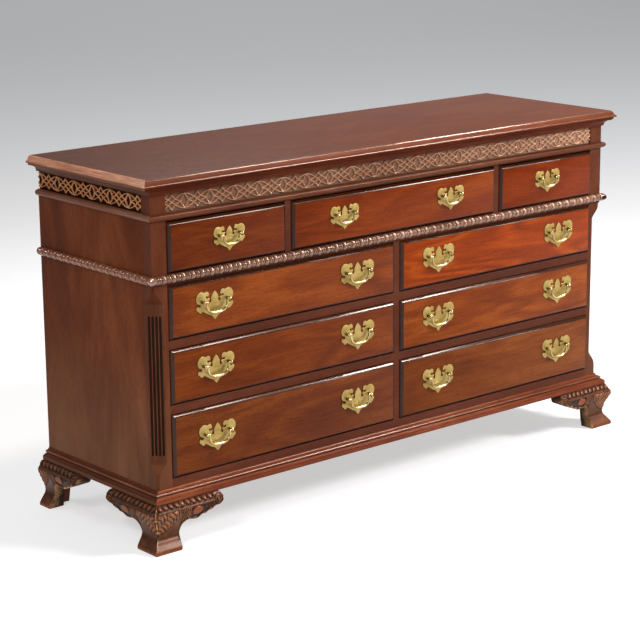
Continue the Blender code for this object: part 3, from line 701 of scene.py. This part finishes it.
def fret_cell(half_width):
    """One repeat of the fret, lying along X with its face at Y = 0 and its oval at X = 0."""
    end, extra = FRET_REPEAT / 2, 0.003
    waves = [(-extra + (end + 2 * extra) * i / 26) for i in range(27)]
    swept = [(x, FRET_SWING * math.cos(math.pi * x / FRET_REPEAT)) for x in waves]
    branch = [(x * MM, z * MM) for x, z in FRET_BRANCH]
    # The branch runs on at both ends, into its mirror images
    start, stop = branch[0], branch[-1]
    branch = [(start[0] - 0.0022, start[1] - 0.0028)] + branch + [(stop[0] + extra, stop[1] + extra)]
    span = (-FRET_HALF_HEIGHT, FRET_HALF_HEIGHT)
    board = block((-2 * extra, end + 2 * extra), (FRET_GROUND_DEPTH, FRET_THICKNESS), span)
    for line in (swept, [(x, -z) for x, z in swept], branch, [(x, -z) for x, z in branch]):
        board = combined(board, fret_rib(line, half_width), "UNION")
    board = combined(board, block((0.0, end), (-0.01, 0.02), (-0.03, 0.03)), "INTERSECT")
    for face in [f for f in board.faces if abs(f.normal.x) > 0.9]:
        if all(min(abs(v.co.x), abs(v.co.x - end)) < 1e-6 for v in face.verts):
            board.faces.remove(face)
    cell = together(board, flipped(board.copy()))
    bmesh.ops.remove_doubles(cell, verts=cell.verts, dist=2e-6)
    return paint(cell, lambda centre, normal: centre.y > FRET_GROUND_DEPTH - 0.0003 and normal.y < -0.5)


def fret_strip(half_width, first, last, start, end):
    """Repeats of the fret from one number to another, cut off at start and end."""
    cell = fret_cell(half_width)
    strip = bmesh.new()
    for number in range(first, last + 1):
        strip = together(strip, moved(cell, (number * FRET_REPEAT, 0.0, 0.0)))
    cell.free()
    bmesh.ops.remove_doubles(strip, verts=strip.verts, dist=2e-6)
    for place, way in ((start, -1.0), (end, 1.0)):
        everything = strip.verts[:] + strip.edges[:] + strip.faces[:]
        bmesh.ops.bisect_plane(strip, geom=everything, plane_co=(place, 0, 0), plane_no=(way, 0, 0), clear_outer=True)
        bmesh.ops.holes_fill(strip, edges=[e for e in strip.edges if e.is_boundary])
    return strip


def build_frets():
    middle = (FRIEZE_BOTTOM + COVE_BOTTOM) / 2
    strip = fret_strip(FRONT_RIB, -10, 10, -POST_INNER + GAP, POST_INNER - GAP)
    bmesh.ops.translate(strip, verts=strip.verts, vec=(0.0, FRONT, middle))
    show("sawn_front_fret", strip, (FRET_WOOD, FRET_GROUND), "front_fret")
    for side, name in ((-1, "left"), (1, "right")):
        strip = fret_strip(SIDE_RIB, -3, 5, POST_BACK + GAP - SIDE_FRET_MIDDLE, BACK - SIDE_FRET_MIDDLE)
        if side < 0:
            flipped(strip)
        place = Matrix.Translation((side * HALF, SIDE_FRET_MIDDLE, middle))
        turn = Matrix.Rotation(side * math.pi / 2, 4, "Z")
        bmesh.ops.transform(strip, verts=strip.verts, matrix=place @ turn)
        show(f"sawn_{name}_fret", strip, (FRET_WOOD_SIDE, FRET_GROUND_SIDE), f"{name}_fret")


# Bracket feet, carved. Distances along and up the bracket are in millimetres from the case's corner and the floor.
FOOT_TOP = 121.7
# Keeps the carving inside the CAD's box
FOOT_REACH = 38.9
BRACKET_BACK = 10.0
BRACKET_ROWS = 84
OGEE = flowing([(0.0, 33.4), (1.6, 35.2), (4.5, 36.0), (10.0, 35.0), (23.0, 26.2), (35.0, 18.8), (46.0, 17.4),
                (64.0, 23.0), (79.0, 30.0), (92.0, 35.4), (101.0, 36.8), (109.0, 33.4), (117.0, 28.4),
                (FOOT_TOP, 25.4)], 6)
SCALLOP = flowing([(41.8, 0.0), (43.8, 12.0), (46.0, 28.0), (48.7, 46.4), (53.9, 61.0), (64.4, 69.5), (75.0, 70.6),
                   (87.0, 68.0), (101.0, 67.8), (107.9, 73.6), (114.0, 76.2), (121.8, 75.6), (128.8, 81.7),
                   (139.2, 83.0), (147.9, 90.3), (161.8, 92.7), (170.5, 99.5), (174.0, 109.8)], 9)

# Where each part of the carving lies and how large it is
LOBE_BOTTOM, LOBE_END, LOBE_PITCH = 109.4, 147.0, 17.0
SCROLL_ALONG, SCROLL_UP, SCROLL_RADIUS, SCROLL_PITCH = 160.5, 107.0, 13.5, 6.6
LEAF_TIPS = ((-60.0, 36.0), (-30.0, 40.0), (-15.0, 43.0), (0.0, 49.0), (15.0, 57.0), (28.0, 69.0), (40.0, 82.0),
             (46.0, 104.0))
LEAF_TOP, LEAF_END, VEIN_PITCH, FINE_PITCH = 103.0, 46.0, 10.0, 4.0
WING_START, FAN_END, FAN_PITCH = 45.0, 72.0, 6.6
OVAL_ALONG, OVAL_UP, OVAL_HALF_LENGTH, OVAL_HALF_HEIGHT = 93.0, 91.5, 16.0, 10.6
# Along, up, radius and rise of small bosses on the wing
BOSSES = ((133.0, 88.0, 6.0, 2.6), (119.0, 96.0, 5.0, 2.0), (143.0, 98.0, 5.0, 2.2), (71.0, 77.0, 6.0, 2.0))
# Of the carving's height, about the ogee
DEEPEST_CUT, CARVING_RANGE = 2.6, 5.4


def swelling(distance, width):
    """1 in the middle, easing to 0 at the width."""
    share = distance / width
    return (1 - share * share) ** 2 if abs(share) < 1 else 0.0


def ridge(place, pitch, width):
    """Rounded ridges at every pitch, 0 in the narrow cuts between them and 1 on top."""
    spot = abs((place / pitch) % 1.0 - 0.5) / width
    return math.sqrt(max(0.0, 1.0 - spot * spot))


def shelf(distance, run):
    """0 below zero, easing to 1 over the run."""
    return eased(min(1.0, max(0.0, distance / run)))


def carving(along, up, edge):
    """Height of the carving in millimetres and how far its glaze is rubbed off, at a point of a bracket.

    Edge is the point's distance from the scalloped edge.
    """
    if up > LOBE_BOTTOM and along < LOBE_END:
        # A row of ten slanted lobes hangs from the base moulding
        spot = ((along + 25.0 + 0.45 * (up - 115.0)) / LOBE_PITCH) % 1.0 - 0.5
        lobe = 1.0 - (2.15 * spot) ** 2 - ((up - 117.0) / 7.6) ** 2
        return -DEEPEST_CUT + 3.4 * math.sqrt(max(0.0, lobe)), 0.5 * max(0.0, lobe)
    # Two cut lines below the lobes
    height = -1.5 * swelling(up - 108.6, 1.4) - 0.7 * swelling(up - LEAF_TOP - 0.4, 1.2)
    # A scroll at the end of the wing, round a button
    across, rise = along - SCROLL_ALONG, up - SCROLL_UP
    radius = math.hypot(across, rise)
    if radius < SCROLL_RADIUS:
        turn = math.atan2(rise, across) / (2 * math.pi)
        wave = 0.5 + 0.5 * math.cos(2 * math.pi * (radius / SCROLL_PITCH - turn))
        return -1.6 + 2.4 * wave * (1 - shelf(radius - SCROLL_RADIUS + 2.0, 2.0)) + 1.6 * swelling(radius, 3.8), 0.2
    # The leaf on the knee, its lower edge in round tips
    above = up - value_at(LEAF_TIPS, along) - 3.4 * abs(math.sin(math.pi * (along + 4.0) / 11.0))
    leaf = shelf(above, 1.6) * shelf(LEAF_TOP - up, 1.6) * (1 - shelf(along - LEAF_END + 2.0, 3.0))
    if leaf > 0:
        # Veins fan down and outwards from the corner, each with a fine cut along it
        run = 0.54 * along - 0.84 * up
        sway = 2.6 * math.sin(run / 6.5 + along / 13.0) + 1.2 * math.sin(run / 3.1 + along / 5.0)
        lean = 0.84 * along + 0.54 * up + sway
        vein, fine = ridge(lean, VEIN_PITCH, 0.44), ridge(lean, FINE_PITCH, 0.5)
        curl = swelling((run / 14.0 + 0.3 * math.sin(lean / 5.0)) % 1.0 - 0.5, 0.13)
        height += leaf * (2.2 * vein - 1.2 + 0.5 * fine - 0.6 * curl)
    # A cut under the leaf, and below it the smooth ankle, waisted and rubbed bare
    height -= 0.9 * swelling(above + 0.8, 2.0) * shelf(LEAF_END - along, 4.0)
    height -= 0.8 * swelling(up - 33.0, 13.0) * shelf(LEAF_END - along, 4.0)
    bare = (0.25 + 0.5 * shelf(14.0 - up, 8.0)) * shelf(-above - 1.0, 6.0) * shelf(LEAF_END - along, 6.0)
    # The wing's ground is sunk behind a raised rim, with a fan of short leaves and a bare oval boss
    wing = shelf(along - WING_START, 5.0) * shelf(LEAF_TOP - up, 1.5)
    height -= 1.9 * wing * shelf(edge - 3.6, 1.6)
    fan = wing * (1 - shelf(along - FAN_END, 4.0)) * shelf(edge - 5.0, 2.0)
    height += 2.6 * fan * ridge(along - 0.25 * (up - 90.0), FAN_PITCH, 0.46)
    oval = math.hypot((along - OVAL_ALONG) / OVAL_HALF_LENGTH, (up - OVAL_UP) / OVAL_HALF_HEIGHT)
    height += 3.2 * wing * shelf(1.1 - oval, 0.22)
    bare = max(bare, wing * shelf(1.05 - oval, 0.2) * 1.1)
    for spot, level, size, rise in BOSSES:
        height += rise * wing * swelling(math.hypot(along - spot, up - level), size)
    return height + 0.8 * shelf(along - WING_START, 5.0) * swelling(edge - 2.0, 2.4), bare


def edge_distance(along, up):
    """Distance from a point of the bracket to its scalloped edge, or no more than far away from it."""
    reach, far = 14.0, 20.0
    near = [(along - a) ** 2 + (up - h) ** 2 for a, h in SCALLOP[::2] if abs(a - along) < reach]
    return math.sqrt(min(near)) if near else far


def bracket_columns():
    """Columns of a bracket from its wing's end to the case's corner, as (along, low, high)."""
    # The wing's end rounds down to the scallop
    round_start, round_end, round_drop = 168.0, 174.0, 11.9
    least, ankle, ankle_columns = 1.3, 40.0, 32
    columns = []
    for along, low in SCALLOP[::-1]:
        if columns and math.hypot(along - columns[-1][0], low - columns[-1][1]) < least:
            continue
        share = max(0.0, along - round_start) / (round_end - round_start)
        columns.append((along, low, FOOT_TOP - round_drop * share ** 2))
    columns.append((SCALLOP[0][0], 0.0, FOOT_TOP))
    return columns + [(ankle - ankle * i / ankle_columns, 0.0, FOOT_TOP) for i in range(ankle_columns + 1)]


def carved_face(mitred):
    """Rings of a bracket, front points first and then the back.

    A point is (along, reach, up, height of the carving, wear and painted highlight, bareness).
    """
    rings = []
    columns = [(column, 0.0) for column in bracket_columns()]
    if mitred:
        columns += [((0.0, 0.0, FOOT_TOP), i / 22) for i in range(1, 23)]
    for (along, low, high), mitre in columns:
        ring = []
        for i in range(BRACKET_ROWS + 1):
            up = low + (high - low) * i / BRACKET_ROWS
            reach = value_at(OGEE, up)
            spot = along - reach * mitre
            edge = edge_distance(spot, up)
            height, bare = carving(spot, up, edge)
            # Pale along the scalloped edge and the floor: wear and painted highlight
            worn_and_highlit = max(math.exp(-(edge / 1.4) ** 2), math.exp(-(up / 2.0) ** 2))
            if mitred:
                # The corner's arris is painted pale, as wear and painted highlight, hardest on the ankle, in spots
                # above it
                arris = math.exp(-((spot + reach) / 2.4) ** 2)
                spots = 0.9 * swelling(up - 28.0, 13.0) + 0.7 * swelling(up - 54.0, 4.0) + 0.55 * shelf(up - 58.0, 10.0)
                worn_and_highlit = max(worn_and_highlit, arris * min(1.0, spots + 0.5))
                # The knee is rounded over there, the ankle stays sharp
                reach -= 4.0 * (1 - min(1.0, (spot + reach) / 13.0)) ** 2 * shelf(up - 48.0, 22.0)
            reach = min(reach + height, FOOT_REACH)
            ring.append((along - reach * mitre, reach, up, height, worn_and_highlit, bare))
        # The back is sawn flat and painted dark as shade, a little pale along its foot as wear and painted highlight
        back = max(along, BRACKET_BACK) if mitred else along
        ring += [(back, -BRACKET_BACK, high, -2.0, 0.0, 0.0), (back, -BRACKET_BACK, low, -2.0, 0.3, 0.0)]
        rings.append(ring)
    return rings


def carved_skin(rings):
    """The skin of brackets, each ring with the function that places it. Its carving, its wear and painted highlight,
    and its bareness are kept as marks.
    """
    def mark(height, wear_and_highlight, bare):
        return (min(1.0, max(0.0, (height + DEEPEST_CUT) / CARVING_RANGE)), wear_and_highlight, bare, 1.0)

    places = [[place(*point[:3]) for point in ring] for ring, place in rings]
    return skin(places, [[mark(*point[3:]) for point in ring] for ring, _ in rings])


def build_feet():
    mitred, plain = carved_face(True), carved_face(False)
    plate_front = BACK - 0.020
    for side, name in ((-1, "left"), (1, "right")):
        def on_front(along, reach, up):
            return (side * (HALF - along * MM), FRONT - reach * MM, up * MM)

        def on_flank(along, reach, up):
            return (side * (HALF + reach * MM), FRONT + along * MM, up * MM)

        def on_rear(along, reach, up):
            return (side * (HALF + reach * MM), BACK - along * MM, up * MM)

        foot = carved_skin([(ring, on_front) for ring in mitred] + [(ring, on_flank) for ring in mitred[-2::-1]])
        show(f"carved_front_{name}_foot", foot, (CARVED,), f"front_{name}_foot", crease=48)
        foot = carved_skin([(ring, on_rear) for ring in plain])
        show(f"carved_rear_{name}_foot", foot, (CARVED,), f"rear_{name}_foot", crease=48)
        plate = [
            [(side * (HALF - (along * MM)), y, height * MM)
             for y, height in ((plate_front, low), (plate_front, high), (BACK, high), (BACK, low))]
            for along, low, high in bracket_columns() if along >= BRACKET_BACK
        ]
        show(f"rear_{name}_foot_plate", skin(plate), (POST_WOOD,), f"rear_{name}_foot")


# Drawers
def drawer_board(low, high):
    """The lipped front: a chamfer with rounded arrises, and a small step up to the face."""
    face = FRONT - FRONT_PROUD
    bottom = low.z - GAP + FRONT_GAP
    # Insets and depths, from the back: the lip's square edge, its arris, a chamfer in two facets, the step
    steps = (
        (0.0, FRONT_BACK), (0.0, FRONT - 0.0006), (0.0004, FRONT - 0.0015), (0.0011, FRONT - 0.0024),
        (0.0030, FRONT - 0.0048), (0.0051, face + 0.0009), (0.0059, face + 0.0004), (0.0067, face + 0.0002),
        (0.0070, face + 0.0001), (0.0074, face),
    )
    board = skin([
        [(low.x + inset, y, bottom + inset), (high.x - inset, y, bottom + inset),
         (high.x - inset, y, high.z - inset), (low.x + inset, y, high.z - inset)]
        for inset, y in steps
    ])
    # The chamfers take the painted shade of the lips
    return paint(board, lambda centre, normal: face + 0.0002 < centre.y < FRONT - 0.0003)


def drawer_box(low, high):
    """Sides and back, each its own board with eased top edges."""
    left, right = low.x + BOX_SIDE_GAP, high.x - BOX_SIDE_GAP
    floor, top = low.z, high.z - BOX_HEAD
    boards = [
        block(x, (FRONT_BACK + GAP, BOX_END), (floor, top))
        for x in ((left, left + BOX_WALL), (right - BOX_WALL, right))
    ]
    boards.append(block((left + BOX_WALL, right - BOX_WALL), (BOX_END - BOX_WALL, BOX_END), (floor, top - 0.001)))
    for board in boards:
        edges = [e for e in board.edges if all(v.co.z > top - 0.002 for v in e.verts)]
        bmesh.ops.bevel(
            board, geom=edges, offset=0.0016, offset_type="OFFSET", affect="EDGES", segments=3, profile=0.5, material=-1
        )
    return together(*boards)


def build_drawers():
    for number, (name, tones) in enumerate(FRONT_TONES.items()):
        body = f"drawer_{name}"
        low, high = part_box(body)
        material = lacquered_wood(
            f"lacquered_mahogany_front_{name}", tones, shift=1.7 * (number + 1), mottle=0.55,
            figure=0.8 if name in FIGURED_FRONTS else 0.5, streaks=0.5, roughness=0.33,
        )
        show(f"front_{name}", drawer_board(low, high), (material, LIP_SHADE_WOOD), body, body, crease=24)
        show(f"box_{name}", drawer_box(low, high), (BOX_WOOD,), body, body)
        floor = block(
            (low.x + BOX_SIDE_GAP + BOX_WALL, high.x - BOX_SIDE_GAP - BOX_WALL),
            (FRONT_BACK + GAP, BOX_END - BOX_WALL), (low.z + 0.001, low.z + BOX_BOTTOM),
        )
        show(f"bottom_{name}", floor, (BOTTOM_WOOD,), body, body)


# Batwing pulls. The plate's right half in millimetres about the line of the posts, in runs that each start at the
# corner where the last one ends
PLATE_START = (0.0, 24.8)
PLATE_RUNS = (
    ((1.6, 22.4), (3.6, 20.0)),
    ((5.8, 18.6), (6.6, 15.6)),
    ((8.8, 13.8), (9.4, 10.8)),
    ((11.4, 8.6), (11.6, 5.0), (10.9, 1.4), (11.6, -2.2), (13.8, -4.3), (16.6, -3.8), (18.2, -1.5), (17.6, 1.0),
     (15.8, 2.5), (14.0, 4.4)),
    ((15.4, 6.2), (18.0, 7.2), (20.6, 7.4), (22.6, 6.5), (25.2, 6.8), (27.0, 8.8), (26.8, 11.3), (24.8, 12.8),
     (22.4, 12.2), (20.8, 11.2)),
    ((18.6, 12.4), (17.2, 15.0), (17.2, 18.0), (18.8, 20.6)),
    ((20.0, 23.4), (23.2, 23.6)),
    ((25.8, 24.8), (28.2, 23.2)),
    ((31.4, 22.2), (35.0, 23.4)),
    ((41.0, 24.9), (47.6, 23.4), (53.0, 19.0), (56.2, 12.8), (56.6, 6.0), (54.6, 0.2), (50.8, -3.8)),
    ((48.2, -4.6), (45.4, -5.2), (43.3, -7.2), (43.3, -9.8), (45.2, -11.8), (48.0, -11.8), (50.6, -10.2), (53.4, -9.6)),
    ((55.8, -12.4), (55.8, -16.6), (53.4, -20.6)),
    ((50.8, -22.0), (48.2, -25.0)),
    ((44.4, -27.4), (40.4, -26.6), (37.2, -23.4)),
    ((33.6, -25.4), (28.6, -28.6), (22.6, -32.2), (16.6, -35.4), (12.2, -37.2), (8.8, -38.4)),
    ((7.8, -41.2), (5.0, -43.4), (2.8, -46.2), (0, -48.4)),
)
RUNS_WIDTH = 0.1138
PLATE_EASE = 0.0006
# Radius of the bail where it leaves its pins, in its middle, and its room beside the balls
BAIL_END, BAIL_MIDDLE, BAIL_GAP = 0.0021, 0.0037, 0.0008
# Past the arm and up: the bend from a pin into its arm
BAIL_BEND = ((0.0014, 0.0), (0.0004, -0.0002))


def sawn_plate(width):
    """The plate's outline, filled and thickened with eased edges, upright at the line of the posts."""
    scale = width / RUNS_WIDTH * MM
    right = [PLATE_START]
    for run in PLATE_RUNS:
        right += flowing([right[-1], *run], 3)[1:]
    outline = right + [(-x, z) for x, z in right[-2:0:-1]]
    data = bpy.data.curves.new("plate", "CURVE")
    data.dimensions = "2D"
    data.fill_mode = "BOTH"
    data.bevel_depth = PLATE_EASE
    data.offset = -PLATE_EASE
    data.bevel_resolution = 1
    data.extrude = PLATE_THICKNESS / 2 - PLATE_EASE
    spline = data.splines.new("POLY")
    spline.points.add(len(outline) - 1)
    for spot, (x, z) in zip(spline.points, outline):
        spot.co = (x * scale, z * scale, 0.0, 1.0)
    spline.use_cyclic_u = True
    holder = placed("plate", data)
    bpy.context.view_layer.update()
    mesh = bpy.data.meshes.new_from_object(holder.evaluated_get(bpy.context.evaluated_depsgraph_get()))
    bm = bmesh.new()
    bm.from_mesh(mesh)
    bpy.data.objects.remove(holder)
    bpy.data.meshes.remove(mesh)
    stand = Matrix.Translation((0.0, PIVOT_STANDOFF + PLATE_THICKNESS / 2, 0.0)) @ Matrix.Rotation(math.pi / 2, 4, "X")
    bmesh.ops.transform(bm, verts=bm.verts, matrix=stand)
    # The plate's rims take the dark brass: painted shade along its edges
    return paint(solid_from(bm), lambda centre, normal: abs(normal.y) < 0.4)


def pull_posts(spacing):
    """Two turned posts: a ball on a waisted stem with a moulded foot."""
    ball = arc((0.0, 0.0), (BALL_RADIUS, BALL_RADIUS), -90, 60, 10)
    stem = [(0.0024, 0.0056), (0.0023, 0.0066), (0.0030, 0.0074), (0.0043, 0.0079), (0.0046, 0.0086),
            (0.0042, PIVOT_STANDOFF), (0.0, PIVOT_STANDOFF)]
    post = bmesh.new()
    points = [post.verts.new((radius, distance, 0.0)) for radius, distance in ball + stem]
    edges = [post.edges.new(pair) for pair in zip(points, points[1:])]
    bmesh.ops.spin(
        post, geom=points + edges, cent=(0, 0, 0), axis=(0, 1, 0), angle=math.tau, steps=20, use_merge=True
    )
    # The stem and its foot are painted dark as shade round the ball
    post = paint(solid_from(post), lambda centre, normal: centre.y > 0.0048)
    pair = together(*[moved(post, (side * spacing / 2, 0.0, 0.0)) for side in (-1, 1)])
    post.free()
    return pair


def pull_bail(spacing, drop):
    """A swelled bar bent to a flat-bottomed loop, its pins turned out into the posts."""
    arm = spacing / 2 - BALL_RADIUS - BAIL_GAP - PIN_RADIUS
    depth = drop - BAIL_RADIUS
    steps = 44
    loop = []
    for i in range(1, steps):
        angle = math.pi * (1 + i / steps)
        across = math.copysign(abs(math.cos(angle)) ** (2 / 3), math.cos(angle))
        loop.append((arm * across, -depth * abs(math.sin(angle)) ** (2 / 3)))
    end = [(spacing / 2 - 0.3 * BALL_RADIUS, 0.0)] + [(arm + past, up) for past, up in BAIL_BEND]
    line = [(-across, up) for across, up in end] + loop + end[::-1]
    rings = []
    for i, (across, up) in enumerate(line):
        before, after = line[max(i - 1, 0)], line[min(i + 1, len(line) - 1)]
        tangent = Vector((after[0] - before[0], 0.0, after[1] - before[1])).normalized()
        away = tangent.cross(Vector((0.0, 1.0, 0.0)))
        on_pin = i in (0, 1, len(line) - 2, len(line) - 1)
        radius = PIN_RADIUS if on_pin else BAIL_END + (BAIL_MIDDLE - BAIL_END) * max(0.0, -up / depth) ** 1.3
        rings.append([
            Vector((across, 0.0, up)) + radius * (math.cos(a) * away + math.sin(a) * Vector((0.0, 1.0, 0.0)))
            for a in [math.tau * k / 14 for k in range(14)]
        ])
    return skin(rings)


def build_pulls():
    parts = {
        size: (sawn_plate(width), pull_posts(spacing), pull_bail(spacing, drop))
        for size, (width, spacing, drop) in PULLS.items()
    }
    for node in sorted(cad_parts):
        if not node.startswith("plate_"):
            continue
        suffix = node[len("plate_"):]
        bail = f"bail_{suffix}"
        plate, posts, swing = parts["small" if suffix.startswith("upper") else "large"]
        plate_low, plate_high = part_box(node)
        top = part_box(bail)[1].z
        pivot = Vector(((plate_low.x + plate_high.x) / 2, plate_low.y + BALL_RADIUS, top - PIN_RADIUS))
        drawer = "drawer_" + (suffix if suffix in ("upper_left", "upper_right") else suffix.rsplit("_", 1)[0])
        for made, label, finish, body, stands_for in (
            (plate, "sawn_plate", PLATE_BRASS, drawer, node),
            (posts, "turned_posts", BAIL_BRASS, drawer, node),
            (swing, "swing_bail", BAIL_BRASS, bail, bail),
        ):
            piece = moved(made, pivot)
            show(f"{label}_{suffix}", piece, (finish, SHADE_DARK_BRASS), stands_for, body, crease=40)


# Nodes whose CAD shape is right take a finish
def finish_cad_nodes():
    finishes = {
        "left_side": SIDE_WOOD, "right_side": SIDE_WOOD, "back_panel": BACK_WOOD, "lower_frame": RAIL_WOOD,
        "upper_frame": RAIL_WOOD, "frieze_rail": RAIL_WOOD,
    }
    for name, material in finishes.items():
        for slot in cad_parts[name].material_slots:
            slot.material = material


# Floor, light and camera
FLOOR_SIZE = 40.0
# The floor's painted glow round the piece: where it starts to fade, where it is gone, and its strength
GLOW_NEAR, GLOW_FAR, GLOW = 1.0, 4.0, 0.54
ROOM_LIGHT = 0.42
# Name, place, target, size, power and tint
LAMPS = (
    ("edge_softbox", (2.35, -0.75, 3.1), (0.2, -0.1, 0.7), 0.45, 54.0, "#FFF2E8"),
    ("second_edge_softbox", (1.2, -0.75, 3.1), (-0.2, -0.1, 0.7), 0.45, 28.0, "#FFF2E8"),
    ("main_softbox", (5.2, -5.4, 4.9), (0.0, 0.0, 0.4), 2.0, 900.0, "#FFFFFF"),
    ("side_softbox", (-4.0, -2.2, 3.4), (0.0, 0.0, 0.4), 0.9, 95.0, "#FFFFFF"),
    ("back_softbox", (-3.5, 3.5, 5.5), (-1.5, 0.0, 0.0), 3.0, 90.0, "#FFFFFF"),
    ("far_softbox", (9.0, 12.0, 9.0), (9.0, 12.0, 0.0), 4.0, 140.0, "#FFFFFF"),
)
CAMERA_PLACE = (-3.5475, -4.065, 1.773)
CAMERA_YAW, CAMERA_PITCH, CAMERA_ROLL = 0.70666, 0.24810, -0.00837
LENS = 115.3


def glowing_painted_light_floor():
    """A pale floor that glows a little round the piece as painted light, which keeps the shadows pale; its colour greys
    away from the piece.
    """
    made, tree, shader, place = blank_material("glowing_floor_painted_light")
    away = add(tree, "VectorMath", {0: place}, "Value", operation="LENGTH")
    glow = add(
        tree, "MapRange", {"Value": away, "From Min": GLOW_NEAR, "From Max": GLOW_FAR, "To Min": 1.0, "To Max": 0.0},
        interpolation_type="SMOOTHSTEP",
    )
    # Its colour greys away from the piece: painted falloff of the light
    colour = add(tree, "Mix", {0: glow, 6: linear("#EFEFF0"), 7: linear("#BCBCBC")}, 2, data_type="RGBA")
    strength = add(tree, "Math", {0: glow, 1: GLOW}, operation="MULTIPLY")
    plug(tree, shader, {
        "Base Color": colour, "Roughness": 0.75, "Emission Color": linear("#FFFFFF"), "Emission Strength": strength,
    })
    return made


def build_studio():
    bm = bmesh.new()
    bmesh.ops.create_grid(bm, x_segments=1, y_segments=1, size=FLOOR_SIZE)
    floor = placed("floor", mesh_of("floor", bm))
    floor.data.materials.append(glowing_painted_light_floor())

    world = bpy.data.worlds.new("studio_room")
    world.use_nodes = True
    bpy.context.scene.world = world
    room = {"Color": linear("#D4D7DA"), "Strength": ROOM_LIGHT}
    plug(world.node_tree, world.node_tree.nodes["Background"], room)

    for name, place, target, size, power, tint in LAMPS:
        data = bpy.data.lights.new(name, "AREA")
        data.shape = "SQUARE"
        data.size = size
        data.energy = power
        data.color = linear(tint)[:3]
        lamp = placed(name, data)
        lamp.location = place
        lamp.rotation_euler = (Vector(target) - Vector(place)).to_track_quat("-Z", "Y").to_euler()


def build_camera():
    data = bpy.data.cameras.new("camera")
    data.lens = LENS
    data.sensor_width = 36.0
    camera = placed("camera", data)
    turn = Matrix.Rotation(-CAMERA_YAW, 4, "Z") @ Matrix.Rotation(math.pi / 2 - CAMERA_PITCH, 4, "X")
    camera.matrix_world = Matrix.Translation(CAMERA_PLACE) @ turn @ Matrix.Rotation(CAMERA_ROLL, 4, "Z")
    bpy.context.scene.camera = camera
    bpy.context.scene.view_settings.view_transform = "Standard"


build_studio()
build_camera()
finish_cad_nodes()
build_top()
build_posts()
build_mouldings()
build_waist_bead()
build_frets()
build_feet()
build_drawers()
build_pulls()
